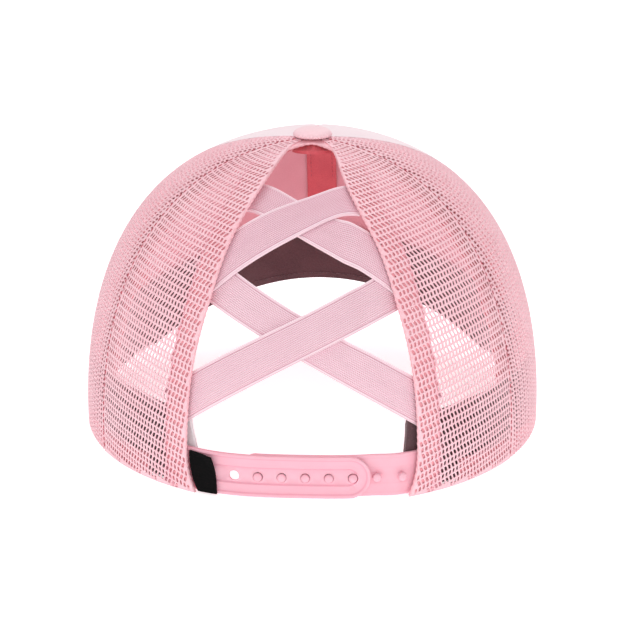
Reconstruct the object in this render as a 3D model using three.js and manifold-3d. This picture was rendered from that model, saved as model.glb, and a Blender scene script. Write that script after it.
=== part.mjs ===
// Trucker cap with a tall opening up the back, crossed elastic straps and a plastic snap strap.
// Millimetres, +Z up. The back of the cap faces -Y and the visor points to +Y.
// The cap stands on a table on the back half of its rim and on the two sides of its curved visor.
// The origin is the middle of the bottom of its bounding box.

import * as THREE from 'three';
import { mergeVertices } from 'three/addons/utils/BufferGeometryUtils.js';
import Module from 'manifold-3d';

const wasm = await Module();
wasm.setup();

// Crown. An angle of 0 degrees is the middle of the back, 90 the right side and 180 the front.
// A rise of 0 is the rim and 1 the top.
const RIM_HALF_WIDTH = 89.5;
const RIM_HALF_LENGTH = 94;
const CROWN_HEIGHT = 113;
const FRONT_LIFT = 28;
const CROWN_PROFILES = {
  back: { bulge: 6, bulgeHeight: 60, shoulder: 64, drop: 2 },
  side: { bulge: 1, bulgeHeight: 42, shoulder: 80, drop: 0 },
  front: { bulge: 4, bulgeHeight: 84, shoulder: 44, drop: 8 },
};
const LEVEL_RIM = 0.1;
const DERIVATIVE_STEP = 0.001;
const HIGHEST_BAND_RISE = 0.6;
const SEARCH_PASSES = 30;

// Panels
const SEAM_ANGLES = { backSide: 60, sideFront: 120, front: 180 };
const SEAM_GAP = 0.3;
const PANEL_TOP = 0.975;
const NET_THICKNESS = 1;
const FRONT_THICKNESS = 2;
const HEM_THICKNESS = 2.1;
const HEM_WIDTH = 10;
const HEM_FADE = { start: 0.83, end: 0.88 };
const HEM_FOLD = 0.5;
const PANEL_COLUMNS = 10;
const PANEL_ROWS = 15;
const BACK_PANEL_COLUMNS = 5;
const BACK_PANEL_ROWS = 18;

// Opening up the back, as the angle from its middle to its edge. It turns in a little at the rim.
const OPENING = { angle: 28.3, narrowing: 8.9, flare: 32, flarePower: 14 };
const OPENING_TURN_IN = { angle: 2.2, top: 0.12 };
// The straps' ends draw the edges in, most of all the upper ones on the right
const STRAP_PULLS = [
  { rise: 0.46, reach: 0.13, left: 1.1, right: 1.2 },
  { rise: 0.78, reach: 0.19, left: 1.2, right: 4.6 },
];

// Seam tapes inside the crown
const TAPE_WIDTH = 13;
const TAPE_THICKNESS = 1;
const TAPE_TOP = 0.95;
const TAPE_CROWDING = 26;
const TAPE_SEAT_GAP = 0.6;
const TAPE_UNDER_PANEL_GAP = 0.5;
const TAPE_ROWS = 14;
const GATHER_RADIUS = 8;
const GATHER_THICKNESS = 1.6;
const GATHER_SLOPE = 0.1;
const GATHER_TILT = 7.3;
const GATHER_TOP = 109.2;
const GATHER_SIDES = 18;
const GATHER_RINGS = 3;

// Sweatband
const BAND_THICKNESS = 1.5;
const BAND_HEIGHT = { front: 20, back: 30, sideExtra: 8 };
const BAND_ENDS = { right: 25.2, left: 24.4 };
const BAND_END_SLANTS = { right: 1.5, left: 5 };
const BAND_DEPTHS = { ends: 4.2, side: 1.4, front: 2.6 };
const BAND_ENDS_TO_SIDE = { start: 42, end: 56 };
const BAND_SIDE_TO_FRONT = { start: 110, end: 119 };
const BAND_COLUMNS = 72;
const BAND_ROWS = 3;

// Elastic straps. Each middle line is rise + climb * s - arch * s * s, with s = angle / 27.
const STRAP_WIDTH = 15.5;
const STRAP_THICKNESS = 1.2;
const STRAP_SPAN_ANGLE = 27;
const STRAP_TAB_ANGLE = 6;
const OUTER_LEVEL = 2.5;
const INNER_LEVEL = 4.1;
const STRAP_SAG = 3.5;
const LEVEL_CHANGE = { start: 12, end: 17.5 };
const STRAP_COLUMNS = 26;
const STRAP_ROWS = 4;
const OUTER = { left: OUTER_LEVEL, right: OUTER_LEVEL };
const OUTER_TO_INNER = { left: OUTER_LEVEL, right: INNER_LEVEL };
const INNER_TO_OUTER = { left: INNER_LEVEL, right: OUTER_LEVEL };
const STRAPS = [
  { name: 'strap_upper_over', rise: 0.725, climb: 0.096, arch: 0.086, ...OUTER },
  { name: 'strap_upper_under', rise: 0.703, climb: -0.111, arch: 0.057, ...INNER_TO_OUTER },
  { name: 'strap_lower_over', rise: 0.377, climb: 0.131, arch: 0.017, ...OUTER_TO_INNER },
  { name: 'strap_lower_under', rise: 0.375, climb: -0.139, arch: 0.01, ...INNER_TO_OUTER },
];

// Plastic snap strap
const SNAP_HEIGHT = 16.6;
const SNAP_BOTTOM = 0.3;
const SNAP_THICKNESS = 1.2;
const SNAP_TAB_ANGLE = 36;
const SNAP_PITCH_ANGLE = 5.9;
const SNAP_FIRST_HOLE_ANGLE = -22.6;
const SNAP_FIRST_PEG_ANGLE = -10.8;
const SNAP_COUNT = 7;
const SNAP_MIDDLE_HEIGHT = 8.2;
const SNAP_HOLES_END_ANGLE = 17;
const SNAP_PEGS_END_ANGLE = -14.3;
const PEGS_STEP = { start: 17.5, end: 24 };
const SNAP_CORNER = { holes: 8, pegs: 4 };
const SNAP_CORNER_SHARES = [0, 0.04, 0.13, 0.3, 0.55, 1];
const SNAP_CORNER_BLUNTNESS = 0.02;
const SNAP_COLUMNS = 14;
const DRILL_CLEARANCE = 1;
const STUD_SIDES = 12;
const HOLE_RADIUS = 1.95;
const PEG_RADIUS = 1.6;
const PEG_TOP_LEVEL = 2.2;

// Label
const LABEL = { right: -21.15, slant: 0.8, bottom: 0.4, top: 16.2, thickness: 0.9, level: 1.2 };
const LABEL_SEAT_ANGLE = 0.5;
const LABEL_COLUMNS = 4;
const LABEL_ROWS = 3;

// Visor
const VISOR_REACH = 69;
const VISOR_THICKNESS = 3;
const VISOR_END_ANGLE = 122;
const VISOR_TIP_HEIGHT = 17;
const VISOR_SIDE_HEIGHT = 3;
const VISOR_BOW = { cornerX: 103, cornerForward: 94, tipX: 76 };
const VISOR_TUCK = 2;
const VISOR_COLUMNS = 30;
const VISOR_ROWS = [0, 0.12, 0.3, 0.5, 0.7, 0.88, 1];
const VISOR_EDGE_SAMPLES = 60;

// Button
const BUTTON_RADIUS = 7.35;
const BUTTON_HEIGHT = 3.9;
const BUTTON_TILT = 4;
const BUTTON_EDGE = 1;
const BUTTON_CUP = 110;
const BUTTON_FULLNESS = 0.7;
const SHANK_RADIUS = 1.5;
const BUTTON_SIDES = 24;
const BUTTON_DOME_TURNS = { first: 18, last: 90, count: 4 };
const BUTTON_SEAT_GAP = 0.45;
const SEAT_GAP = 0.3;

// Colours and finish
const PALE_CLOTH = { color: 0xf6c9d4, roughness: 0.85 };
const NET = { color: 0xf3b9c3, roughness: 0.8 };
const TAPE = { color: 0xc5515a, roughness: 0.8 };
const BAND = { color: 0x583b3f, roughness: 0.9 };
const ELASTIC = { color: 0xeac6d0, roughness: 0.75 };
const PLASTIC = { color: 0xf5b5c5, roughness: 0.35 };
const BLACK_WEAVE = { color: 0x141214, roughness: 0.7 };

const cap = new THREE.Group();

function addPiece(name, geometry, finish) {
  const piece = new THREE.Mesh(geometry, new THREE.MeshStandardMaterial({ metalness: 0, ...finish }));
  piece.name = name;
  cap.add(piece);
}

// A profile value between the back or front and the side of the crown
function profileAt(angle, key) {
  const turn = THREE.MathUtils.degToRad(angle);
  const along = Math.cos(turn) ** 2;
  const end = Math.cos(turn) > 0 ? CROWN_PROFILES.back : CROWN_PROFILES.front;
  return end[key] * along + CROWN_PROFILES.side[key] * (1 - along);
}

function liftAt(angle) {
  const forward = Math.min(0, Math.cos(THREE.MathUtils.degToRad(angle)));
  return FRONT_LIFT * forward * forward;
}

// The crown's outer surface: a cubic from the rim through the bulge and the shoulder to the top
function outerPoint(angle, rise) {
  const sine = Math.sin(THREE.MathUtils.degToRad(angle));
  const cosine = Math.cos(THREE.MathUtils.degToRad(angle));
  const bulge = profileAt(angle, 'bulge');
  const lift = liftAt(angle);
  const shoulderLength = cosine > 0 ? CROWN_PROFILES.back.shoulder : CROWN_PROFILES.front.shoulder;
  const rim = new THREE.Vector3(RIM_HALF_WIDTH * sine, -RIM_HALF_LENGTH * cosine, lift);
  const side = new THREE.Vector3(
    (RIM_HALF_WIDTH + bulge) * sine,
    -(RIM_HALF_LENGTH + bulge) * cosine,
    lift + profileAt(angle, 'bulgeHeight'),
  );
  const shoulder = new THREE.Vector3(
    CROWN_PROFILES.side.shoulder * sine,
    -shoulderLength * cosine,
    CROWN_HEIGHT - profileAt(angle, 'drop'),
  );
  const top = new THREE.Vector3(0, 0, CROWN_HEIGHT);
  const rest = 1 - rise;
  return rim.multiplyScalar(rest ** 3)
    .addScaledVector(side, 3 * rise * rest ** 2)
    .addScaledVector(shoulder, 3 * rise ** 2 * rest)
    .addScaledVector(top, rise ** 3);
}

// Outward direction of the crown, turned level at the rim so that lower edges lie in one plane
function outwardAt(angle, rise) {
  const step = DERIVATIVE_STEP;
  const around = outerPoint(angle + step, rise).sub(outerPoint(angle - step, rise));
  const up = outerPoint(angle, rise + step).sub(outerPoint(angle, rise - step));
  const outward = around.cross(up).normalize();
  outward.z *= Math.min(1, rise / LEVEL_RIM);
  return outward.normalize();
}

function crownPoint(angle, rise, depth) {
  return outerPoint(angle, rise).addScaledVector(outwardAt(angle, rise), -depth);
}

// The rise at which the crown stands a height above its rim
function riseAtHeight(angle, height) {
  let low = 0;
  let high = HIGHEST_BAND_RISE;
  for (let pass = 0; pass < SEARCH_PASSES; pass += 1) {
    const middle = (low + high) / 2;
    if (outerPoint(angle, middle).z - liftAt(angle) < height) {
      low = middle;
    } else {
      high = middle;
    }
  }
  return (low + high) / 2;
}

// Degrees of angle that a length along the crown takes up at a rise
function degreesFor(length, angle, rise) {
  const halfDegree = 0.5;
  return length / outerPoint(angle + halfDegree, rise).distanceTo(outerPoint(angle - halfDegree, rise));
}

// The opening's edge on the right (side 1) or the left (side -1)
function openingAngle(rise, side) {
  const flare = OPENING.flare * rise ** OPENING.flarePower;
  const turnIn = OPENING_TURN_IN.angle * Math.max(0, 1 - rise / OPENING_TURN_IN.top) ** 3;
  let angle = OPENING.angle - OPENING.narrowing * rise ** 2 - turnIn + flare;
  for (const pull of STRAP_PULLS) {
    const amount = side > 0 ? pull.right : pull.left;
    angle -= amount * Math.exp(-(((rise - pull.rise) / pull.reach) ** 2));
  }
  return angle;
}

// Even steps from one value to another, both included
function steps(from, to, count) {
  return Array.from({ length: count + 1 }, (_, index) => from + (to - from) * index / count);
}

// Closed wall between two point grids. Its front faces the cross product of columns and rows.
function wall(columnCount, rowCount, frontPoint, backPoint) {
  const positions = [];
  const faces = [];
  const place = [frontPoint, backPoint];
  for (const point of place) {
    for (let column = 0; column < columnCount; column += 1) {
      for (let row = 0; row < rowCount; row += 1) {
        positions.push(...point(column, row).toArray());
      }
    }
  }
  const index = (layer, column, row) => (layer * columnCount + column) * rowCount + row;
  const quad = (a, b, c, d) => faces.push(a, b, c, a, c, d);
  const lastColumn = columnCount - 1;
  const lastRow = rowCount - 1;
  for (let column = 0; column < lastColumn; column += 1) {
    for (let row = 0; row < lastRow; row += 1) {
      quad(index(0, column, row), index(0, column + 1, row),
        index(0, column + 1, row + 1), index(0, column, row + 1));
      quad(index(1, column, row), index(1, column, row + 1),
        index(1, column + 1, row + 1), index(1, column + 1, row));
    }
    quad(index(0, column, 0), index(1, column, 0), index(1, column + 1, 0), index(0, column + 1, 0));
    quad(index(0, column, lastRow), index(0, column + 1, lastRow),
      index(1, column + 1, lastRow), index(1, column, lastRow));
  }
  for (let row = 0; row < lastRow; row += 1) {
    quad(index(0, 0, row), index(0, 0, row + 1), index(1, 0, row + 1), index(1, 0, row));
    quad(index(0, lastColumn, row), index(1, lastColumn, row),
      index(1, lastColumn, row + 1), index(0, lastColumn, row + 1));
  }
  const geometry = new THREE.BufferGeometry();
  geometry.setAttribute('position', new THREE.Float32BufferAttribute(positions, 3));
  geometry.setIndex(faces);
  geometry.computeVertexNormals();
  return geometry;
}

function toSolid(geometry) {
  const bare = geometry.clone();
  bare.deleteAttribute('normal');
  bare.deleteAttribute('uv');
  const merged = mergeVertices(bare, 0.0001);
  return new wasm.Manifold(new wasm.Mesh({
    numProp: 3,
    vertProperties: new Float32Array(merged.attributes.position.array),
    triVerts: new Uint32Array(merged.index.array),
  }));
}

function toGeometry(solid) {
  const mesh = solid.getMesh();
  const geometry = new THREE.BufferGeometry();
  geometry.setAttribute('position', new THREE.Float32BufferAttribute(mesh.vertProperties, 3));
  geometry.setIndex(Array.from(mesh.triVerts));
  geometry.computeVertexNormals();
  return geometry;
}

// Crown panels
function panel(anglesAt, rises, thicknessAt) {
  const columnCount = anglesAt(0).length;
  const place = (inner) => (column, row) => {
    const rise = rises[row];
    return crownPoint(anglesAt(rise)[column], rise, inner ? thicknessAt(column, rise) : 0);
  };
  return wall(columnCount, rises.length, place(false), place(true));
}

function sewnPanel(from, to, thickness) {
  const anglesAt = (rise) => {
    const gap = degreesFor(SEAM_GAP / 2, (from + to) / 2, rise);
    return steps(from + gap, to - gap, PANEL_COLUMNS);
  };
  return panel(anglesAt, steps(0, PANEL_TOP, PANEL_ROWS), () => thickness);
}

// A back panel on the right (side 1) or the left (side -1), with the doubled hem at the opening
function backPanel(side) {
  const anglesAt = (rise) => {
    const edge = openingAngle(rise, side);
    const seam = SEAM_ANGLES.backSide - degreesFor(SEAM_GAP / 2, SEAM_ANGLES.backSide, rise);
    const hem = Math.min(degreesFor(HEM_WIDTH, edge, rise), (seam - edge) / 2);
    const fold = degreesFor(HEM_FOLD, edge, rise);
    const angles = [edge, edge + hem, ...steps(edge + hem + fold, seam, BACK_PANEL_COLUMNS)];
    return side > 0 ? angles : angles.map((angle) => -angle).reverse();
  };
  const lastColumn = BACK_PANEL_COLUMNS + 2;
  const thicknessAt = (column, rise) => {
    const fromHem = side > 0 ? column : lastColumn - column;
    const doubled = 1 - THREE.MathUtils.smoothstep(rise, HEM_FADE.start, HEM_FADE.end);
    const extra = (HEM_THICKNESS - NET_THICKNESS) * doubled;
    return NET_THICKNESS + (fromHem < 2 ? extra : 0);
  };
  return panel(anglesAt, steps(0, PANEL_TOP, BACK_PANEL_ROWS), thicknessAt);
}

const { backSide, sideFront, front } = SEAM_ANGLES;
addPiece('front_panel_left', sewnPanel(-front, -sideFront, FRONT_THICKNESS), PALE_CLOTH);
addPiece('front_panel_right', sewnPanel(sideFront, front, FRONT_THICKNESS), PALE_CLOTH);
addPiece('side_mesh_left', sewnPanel(-sideFront, -backSide, NET_THICKNESS), NET);
addPiece('side_mesh_right', sewnPanel(backSide, sideFront, NET_THICKNESS), NET);
addPiece('back_mesh_left', backPanel(-1), NET);
addPiece('back_mesh_right', backPanel(1), NET);

// Sweatband
function bandHeight(angle) {
  const turn = THREE.MathUtils.degToRad(angle);
  const forward = (1 - Math.cos(turn)) / 2;
  const extra = BAND_HEIGHT.sideExtra * Math.sin(turn) ** 4;
  return THREE.MathUtils.lerp(BAND_HEIGHT.back, BAND_HEIGHT.front, forward) + extra;
}

function bandDepth(angle) {
  const fromBack = Math.abs(angle <= 180 ? angle : 360 - angle);
  const toSide = THREE.MathUtils.smoothstep(fromBack, BAND_ENDS_TO_SIDE.start, BAND_ENDS_TO_SIDE.end);
  const toFront = THREE.MathUtils.smoothstep(fromBack, BAND_SIDE_TO_FRONT.start, BAND_SIDE_TO_FRONT.end);
  const side = THREE.MathUtils.lerp(BAND_DEPTHS.ends, BAND_DEPTHS.side, toSide);
  return THREE.MathUtils.lerp(side, BAND_DEPTHS.front, toFront);
}

function sweatband() {
  const place = (extra) => (column, row) => {
    const up = row / BAND_ROWS;
    const rightEnd = BAND_ENDS.right + BAND_END_SLANTS.right * up;
    const leftEnd = 360 - BAND_ENDS.left - BAND_END_SLANTS.left * up;
    const angle = THREE.MathUtils.lerp(rightEnd, leftEnd, column / BAND_COLUMNS);
    const rise = riseAtHeight(angle, bandHeight(angle)) * up;
    return crownPoint(angle, rise, bandDepth(angle) + extra);
  };
  return wall(BAND_COLUMNS + 1, BAND_ROWS + 1, place(0), place(BAND_THICKNESS));
}

addPiece('sweatband', sweatband(), BAND);

// Seam tapes, which start on the sweatband and end at the folded ends under the button
function seamTape(angle, depth) {
  const shares = [-1, 0, 1];
  const place = (extra) => (column, row) => {
    const edge = angle + shares[column] * degreesFor(TAPE_WIDTH / 2, angle, 0);
    const bottom = riseAtHeight(edge, bandHeight(Math.abs(edge)) + TAPE_SEAT_GAP);
    const rise = THREE.MathUtils.lerp(bottom, TAPE_TOP, row / TAPE_ROWS);
    const halfWidth = Math.min(degreesFor(TAPE_WIDTH / 2, angle, rise), TAPE_CROWDING);
    return crownPoint(angle + shares[column] * halfWidth, rise, depth + extra);
  };
  return wall(shares.length, TAPE_ROWS + 1, place(0), place(TAPE_THICKNESS));
}

const frontTapeDepth = FRONT_THICKNESS + TAPE_UNDER_PANEL_GAP;
const netTapeDepth = NET_THICKNESS + TAPE_UNDER_PANEL_GAP;
addPiece('front_seam_tape', seamTape(front, frontTapeDepth), TAPE);
addPiece('front_side_tape_left', seamTape(-sideFront, frontTapeDepth), TAPE);
addPiece('front_side_tape_right', seamTape(sideFront, frontTapeDepth), TAPE);
addPiece('back_side_tape_left', seamTape(-backSide, netTapeDepth), TAPE);
addPiece('back_side_tape_right', seamTape(backSide, netTapeDepth), TAPE);

// Folded tape ends under the button: a shallow cone under the ends of the tapes, low at the front
function tapeGather() {
  const ceiling = (radius) => -GATHER_SLOPE * radius;
  const radii = steps(0, GATHER_RADIUS, GATHER_RINGS);
  const upper = radii.map((radius) => new THREE.Vector2(radius, ceiling(radius)));
  const lower = radii.map((radius) => new THREE.Vector2(radius, ceiling(radius) - GATHER_THICKNESS));
  return new THREE.LatheGeometry([...lower, ...upper.reverse()], GATHER_SIDES)
    .rotateX(Math.PI / 2 - THREE.MathUtils.degToRad(GATHER_TILT))
    .translate(0, 0, GATHER_TOP);
}

addPiece('tape_gather', tapeGather(), TAPE);

// Button: a cloth-covered dome whose underside follows the top of the crown, on a short shank.
// It leans forward a little, and its heights are measured from the crown's top.
function button() {
  const seat = (radius) => BUTTON_SEAT_GAP - radius ** 2 / BUTTON_CUP;
  const brim = seat(BUTTON_RADIUS) + BUTTON_EDGE;
  const shankEnd = GATHER_TOP + SEAT_GAP - CROWN_HEIGHT;
  const profile = [
    new THREE.Vector2(0, shankEnd),
    new THREE.Vector2(SHANK_RADIUS, shankEnd),
    new THREE.Vector2(SHANK_RADIUS, seat(SHANK_RADIUS)),
    new THREE.Vector2(BUTTON_RADIUS - BUTTON_EDGE / 2, seat(BUTTON_RADIUS)),
    new THREE.Vector2(BUTTON_RADIUS, brim),
  ];
  const { first, last, count } = BUTTON_DOME_TURNS;
  for (const turn of steps(first, last, count)) {
    const radians = THREE.MathUtils.degToRad(turn);
    const radius = turn === last ? 0 : BUTTON_RADIUS * Math.cos(radians) ** BUTTON_FULLNESS;
    const height = brim + (BUTTON_HEIGHT - brim) * Math.sin(radians);
    profile.push(new THREE.Vector2(radius, height));
  }
  return new THREE.LatheGeometry(profile, BUTTON_SIDES)
    .rotateX(Math.PI / 2 - THREE.MathUtils.degToRad(BUTTON_TILT))
    .translate(0, 0, CROWN_HEIGHT);
}

addPiece('button', button(), PALE_CLOTH);

// Straps over the opening sag a little inside the crown's line
function sagAt(angle) {
  const share = Math.min(1, Math.abs(angle) / (STRAP_SPAN_ANGLE + 1));
  return STRAP_SAG * Math.cos(share * Math.PI / 2) ** 2;
}

function strapPoint(angle, rise, level) {
  return crownPoint(angle, rise, level + sagAt(angle));
}

function elasticStrap({ rise, climb, arch, left, right }) {
  const middleRise = (angle) => {
    const share = angle / STRAP_SPAN_ANGLE;
    return rise + climb * share - arch * share ** 2;
  };
  const endAngle = (side) => {
    const edge = openingAngle(middleRise(side * STRAP_SPAN_ANGLE), side);
    return side * (openingAngle(middleRise(side * edge), side) + STRAP_TAB_ANGLE);
  };
  const angles = steps(endAngle(-1), endAngle(1), STRAP_COLUMNS);
  const shares = steps(-1, 1, STRAP_ROWS);
  const levelAt = (angle) => {
    const change = THREE.MathUtils.smoothstep(angle, LEVEL_CHANGE.start, LEVEL_CHANGE.end);
    return THREE.MathUtils.lerp(left, right, change);
  };
  // Steps in angle and rise that cross the strap at right angles on the crown's surface
  const crossing = (angle) => {
    const here = middleRise(angle);
    const before = angle - 0.5;
    const after = angle + 0.5;
    const along = outerPoint(after, middleRise(after)).sub(outerPoint(before, middleRise(before)));
    const across = outwardAt(angle, here).cross(along).normalize();
    const perDegree = outerPoint(after, here).sub(outerPoint(before, here));
    const above = outerPoint(angle, here + DERIVATIVE_STEP);
    const below = outerPoint(angle, here - DERIVATIVE_STEP);
    const perRise = above.sub(below).divideScalar(2 * DERIVATIVE_STEP);
    const aa = perDegree.dot(perDegree);
    const ab = perDegree.dot(perRise);
    const bb = perRise.dot(perRise);
    const ta = across.dot(perDegree);
    const tb = across.dot(perRise);
    const determinant = aa * bb - ab * ab;
    return { angle: (ta * bb - tb * ab) / determinant, rise: (tb * aa - ta * ab) / determinant };
  };
  const place = (extra) => (column, row) => {
    const angle = angles[column];
    const cross = crossing(angle);
    const offset = shares[row] * STRAP_WIDTH / 2;
    const pointAngle = angle + cross.angle * offset;
    const pointRise = middleRise(angle) + cross.rise * offset;
    return strapPoint(pointAngle, pointRise, levelAt(pointAngle) + extra);
  };
  return wall(angles.length, shares.length, place(0), place(STRAP_THICKNESS));
}

for (const strap of STRAPS) {
  addPiece(strap.name, elasticStrap(strap), ELASTIC);
}

// Snap strap halves. A rounded end narrows over the last columns.
function roundedEnd(endAngle, corner, angle) {
  const distance = Math.abs(angle - endAngle) / degreesFor(1, endAngle, 0);
  const inside = Math.max(0, 1 - distance / corner);
  const half = SNAP_HEIGHT / 2;
  return half - corner + corner * Math.sqrt(Math.max(SNAP_CORNER_BLUNTNESS, 1 - inside ** 2));
}

function snapHalf(fromAngle, toAngle, endAngle, corner, levelAt) {
  const reach = degreesFor(corner, endAngle, 0);
  const towards = Math.sign((fromAngle + toAngle) / 2 - endAngle);
  const tip = SNAP_CORNER_SHARES.map((share) => endAngle + towards * share * reach);
  const plainEnd = endAngle === toAngle ? fromAngle : toAngle;
  const plain = steps(tip.at(-1), plainEnd, SNAP_COLUMNS).slice(1);
  const angles = [...tip, ...plain].sort((a, b) => a - b);
  const shares = [-1, 0, 1];
  const place = (extra) => (column, row) => {
    const angle = angles[column];
    const half = roundedEnd(endAngle, corner, angle);
    const height = SNAP_BOTTOM + SNAP_HEIGHT / 2 + shares[row] * half;
    return strapPoint(angle, riseAtHeight(angle, height), levelAt(angle) + extra);
  };
  return wall(angles.length, shares.length, place(0), place(SNAP_THICKNESS));
}

// A round stud or drill through the snap strap, between two levels
function snapStud(angle, radius, outerLevel, innerLevel) {
  const rise = riseAtHeight(angle, SNAP_MIDDLE_HEIGHT);
  const outer = strapPoint(angle, rise, outerLevel);
  const inner = strapPoint(angle, rise, innerLevel);
  const stud = new THREE.CylinderGeometry(radius, radius, outer.distanceTo(inner), STUD_SIDES);
  const direction = outer.clone().sub(inner).normalize();
  const turn = new THREE.Quaternion().setFromUnitVectors(new THREE.Vector3(0, 1, 0), direction);
  stud.applyQuaternion(turn);
  stud.translate(...outer.add(inner).multiplyScalar(0.5).toArray());
  return toSolid(stud);
}

const pegLevelAt = (angle) => {
  const change = THREE.MathUtils.smoothstep(angle, PEGS_STEP.start, PEGS_STEP.end);
  return THREE.MathUtils.lerp(INNER_LEVEL, OUTER_LEVEL, change);
};

let holesHalf = toSolid(snapHalf(-SNAP_TAB_ANGLE, SNAP_HOLES_END_ANGLE, SNAP_HOLES_END_ANGLE,
  SNAP_CORNER.holes, () => OUTER_LEVEL));
let pegsHalf = toSolid(snapHalf(SNAP_PEGS_END_ANGLE, SNAP_TAB_ANGLE, SNAP_PEGS_END_ANGLE,
  SNAP_CORNER.pegs, pegLevelAt));
for (let place = 0; place < SNAP_COUNT; place += 1) {
  const holeAngle = SNAP_FIRST_HOLE_ANGLE + place * SNAP_PITCH_ANGLE;
  const pegAngle = SNAP_FIRST_PEG_ANGLE + place * SNAP_PITCH_ANGLE;
  const pegRoot = pegLevelAt(pegAngle) + SNAP_THICKNESS / 2;
  const pegTop = pegLevelAt(pegAngle) - INNER_LEVEL + PEG_TOP_LEVEL;
  const drill = snapStud(holeAngle, HOLE_RADIUS, OUTER_LEVEL - DRILL_CLEARANCE,
    OUTER_LEVEL + SNAP_THICKNESS + DRILL_CLEARANCE);
  holesHalf = holesHalf.subtract(drill);
  pegsHalf = pegsHalf.add(snapStud(pegAngle, PEG_RADIUS, pegTop, pegRoot));
}
addPiece('snap_strap_holes', toGeometry(holesHalf), PLASTIC);
addPiece('snap_strap_pegs', toGeometry(pegsHalf), PLASTIC);

// Label, sewn in at the left edge of the opening over the snap strap
function label() {
  const heights = steps(LABEL.bottom, LABEL.top, LABEL_ROWS);
  const place = (extra) => (column, row) => {
    const hemRise = riseAtHeight(-OPENING.angle, heights[row]);
    const left = LABEL_SEAT_ANGLE - openingAngle(hemRise, -1);
    const right = LABEL.right - LABEL.slant * (row / LABEL_ROWS) ** 3;
    const angle = THREE.MathUtils.lerp(left, right, column / LABEL_COLUMNS);
    return strapPoint(angle, riseAtHeight(angle, heights[row]), LABEL.level + extra);
  };
  return wall(LABEL_COLUMNS + 1, heights.length, place(0), place(LABEL.thickness));
}

addPiece('side_label', label(), BLACK_WEAVE);

// Visor: from under the front panels to a bowed outer edge, curved down at its two sides
function visor() {
  const angles = steps(VISOR_END_ANGLE, 360 - VISOR_END_ANGLE, VISOR_COLUMNS);
  const corner = crownPoint(VISOR_END_ANGLE, 0, 0);
  const tipForward = RIM_HALF_LENGTH + VISOR_REACH;
  const halfEdge = new THREE.CubicBezierCurve(
    new THREE.Vector2(corner.x, corner.y),
    new THREE.Vector2(VISOR_BOW.cornerX, VISOR_BOW.cornerForward),
    new THREE.Vector2(VISOR_BOW.tipX, tipForward),
    new THREE.Vector2(0, tipForward),
  );
  const widest = Math.max(...halfEdge.getPoints(VISOR_EDGE_SAMPLES).map((point) => point.x));
  const outerEdge = (share) => {
    const point = halfEdge.getPoint(1 - Math.abs(share));
    const fall = (VISOR_TIP_HEIGHT - VISOR_SIDE_HEIGHT) * (point.x / widest) ** 2;
    return new THREE.Vector3(Math.sign(share) * point.x, point.y, VISOR_TIP_HEIGHT - fall);
  };
  const top = (column, row) => {
    const share = 1 - 2 * column / (angles.length - 1);
    const inner = crownPoint(angles[column], 0, VISOR_TUCK);
    inner.z -= SEAT_GAP;
    return inner.lerp(outerEdge(share), VISOR_ROWS[row]);
  };
  const thickness = new THREE.Vector3(0, 0, VISOR_THICKNESS);
  const underside = (column, row) => top(column, row).sub(thickness);
  return wall(angles.length, VISOR_ROWS.length, underside, top);
}

addPiece('visor', visor(), PALE_CLOTH);

// Put the middle of the bottom of the bounding box at the origin
const bounds = new THREE.Box3().setFromObject(cap);
cap.position.y = -(bounds.min.y + bounds.max.y) / 2;

export default cap;
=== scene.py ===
import math

import bmesh
import bpy
import numpy as np
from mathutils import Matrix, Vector, geometry


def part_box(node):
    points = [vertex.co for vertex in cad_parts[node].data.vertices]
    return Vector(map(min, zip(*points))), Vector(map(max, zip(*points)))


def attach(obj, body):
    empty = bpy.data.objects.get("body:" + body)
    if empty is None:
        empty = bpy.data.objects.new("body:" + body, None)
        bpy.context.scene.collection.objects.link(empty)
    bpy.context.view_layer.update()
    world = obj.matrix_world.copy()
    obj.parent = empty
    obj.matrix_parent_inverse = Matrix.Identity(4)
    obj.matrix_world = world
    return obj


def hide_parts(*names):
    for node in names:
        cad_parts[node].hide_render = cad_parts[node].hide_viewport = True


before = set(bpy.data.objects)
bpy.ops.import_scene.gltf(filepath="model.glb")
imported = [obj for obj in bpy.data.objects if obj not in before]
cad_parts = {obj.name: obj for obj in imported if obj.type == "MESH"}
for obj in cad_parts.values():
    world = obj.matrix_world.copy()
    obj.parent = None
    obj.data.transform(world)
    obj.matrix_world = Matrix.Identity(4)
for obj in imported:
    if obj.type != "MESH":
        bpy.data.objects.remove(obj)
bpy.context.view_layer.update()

# NET SIDE PANELS. Two panels of stiff pink polyester net, knitted with slanting holes that lean
# one way in one row and the other way in the next. Each is cut to a gore and steamed to the
# round of the crown before it is sewn to its neighbours.

# The crown's form: half width and half length at the rim, and its height. An angle of 0 degrees
# is the middle of the back, 90 the wearer's right and 180 the front; a rise of 0 is the rim.
CROWN_RIM = (0.0895, 0.094)
CROWN_HEIGHT = 0.113
CROWN_FRONT_LIFT = 0.028
# bulge, height of the bulge, shoulder, drop of the shoulder below the top
CROWN_BACK = np.array((0.006, 0.060, 0.064, 0.002))
CROWN_SIDE = np.array((0.001, 0.042, 0.080, 0.000))
CROWN_FRONT = np.array((0.004, 0.084, 0.044, 0.008))
CROWN_LEVEL_RIM = 0.1
CROWN_CROWDED_RISE = 0.97
VISOR_TIP = 0.163
CROWN_MIDDLE = np.array((0.0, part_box("visor")[1][1] - VISOR_TIP, 0.0))
BACK_SIDE_SEAM, SIDE_FRONT_SEAM, FRONT_SEAM = 60, 120, 180
SIDES = ((-1, "left"), (1, "right"))
SEAM_GAP = 0.0003
PANEL_TOP = 0.975


def paired(first, second):
    return np.broadcast_arrays(np.asarray(first, float), np.asarray(second, float))


def unit(vectors):
    return vectors / np.maximum(np.linalg.norm(vectors, axis=-1, keepdims=True), 1e-30)


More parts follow.
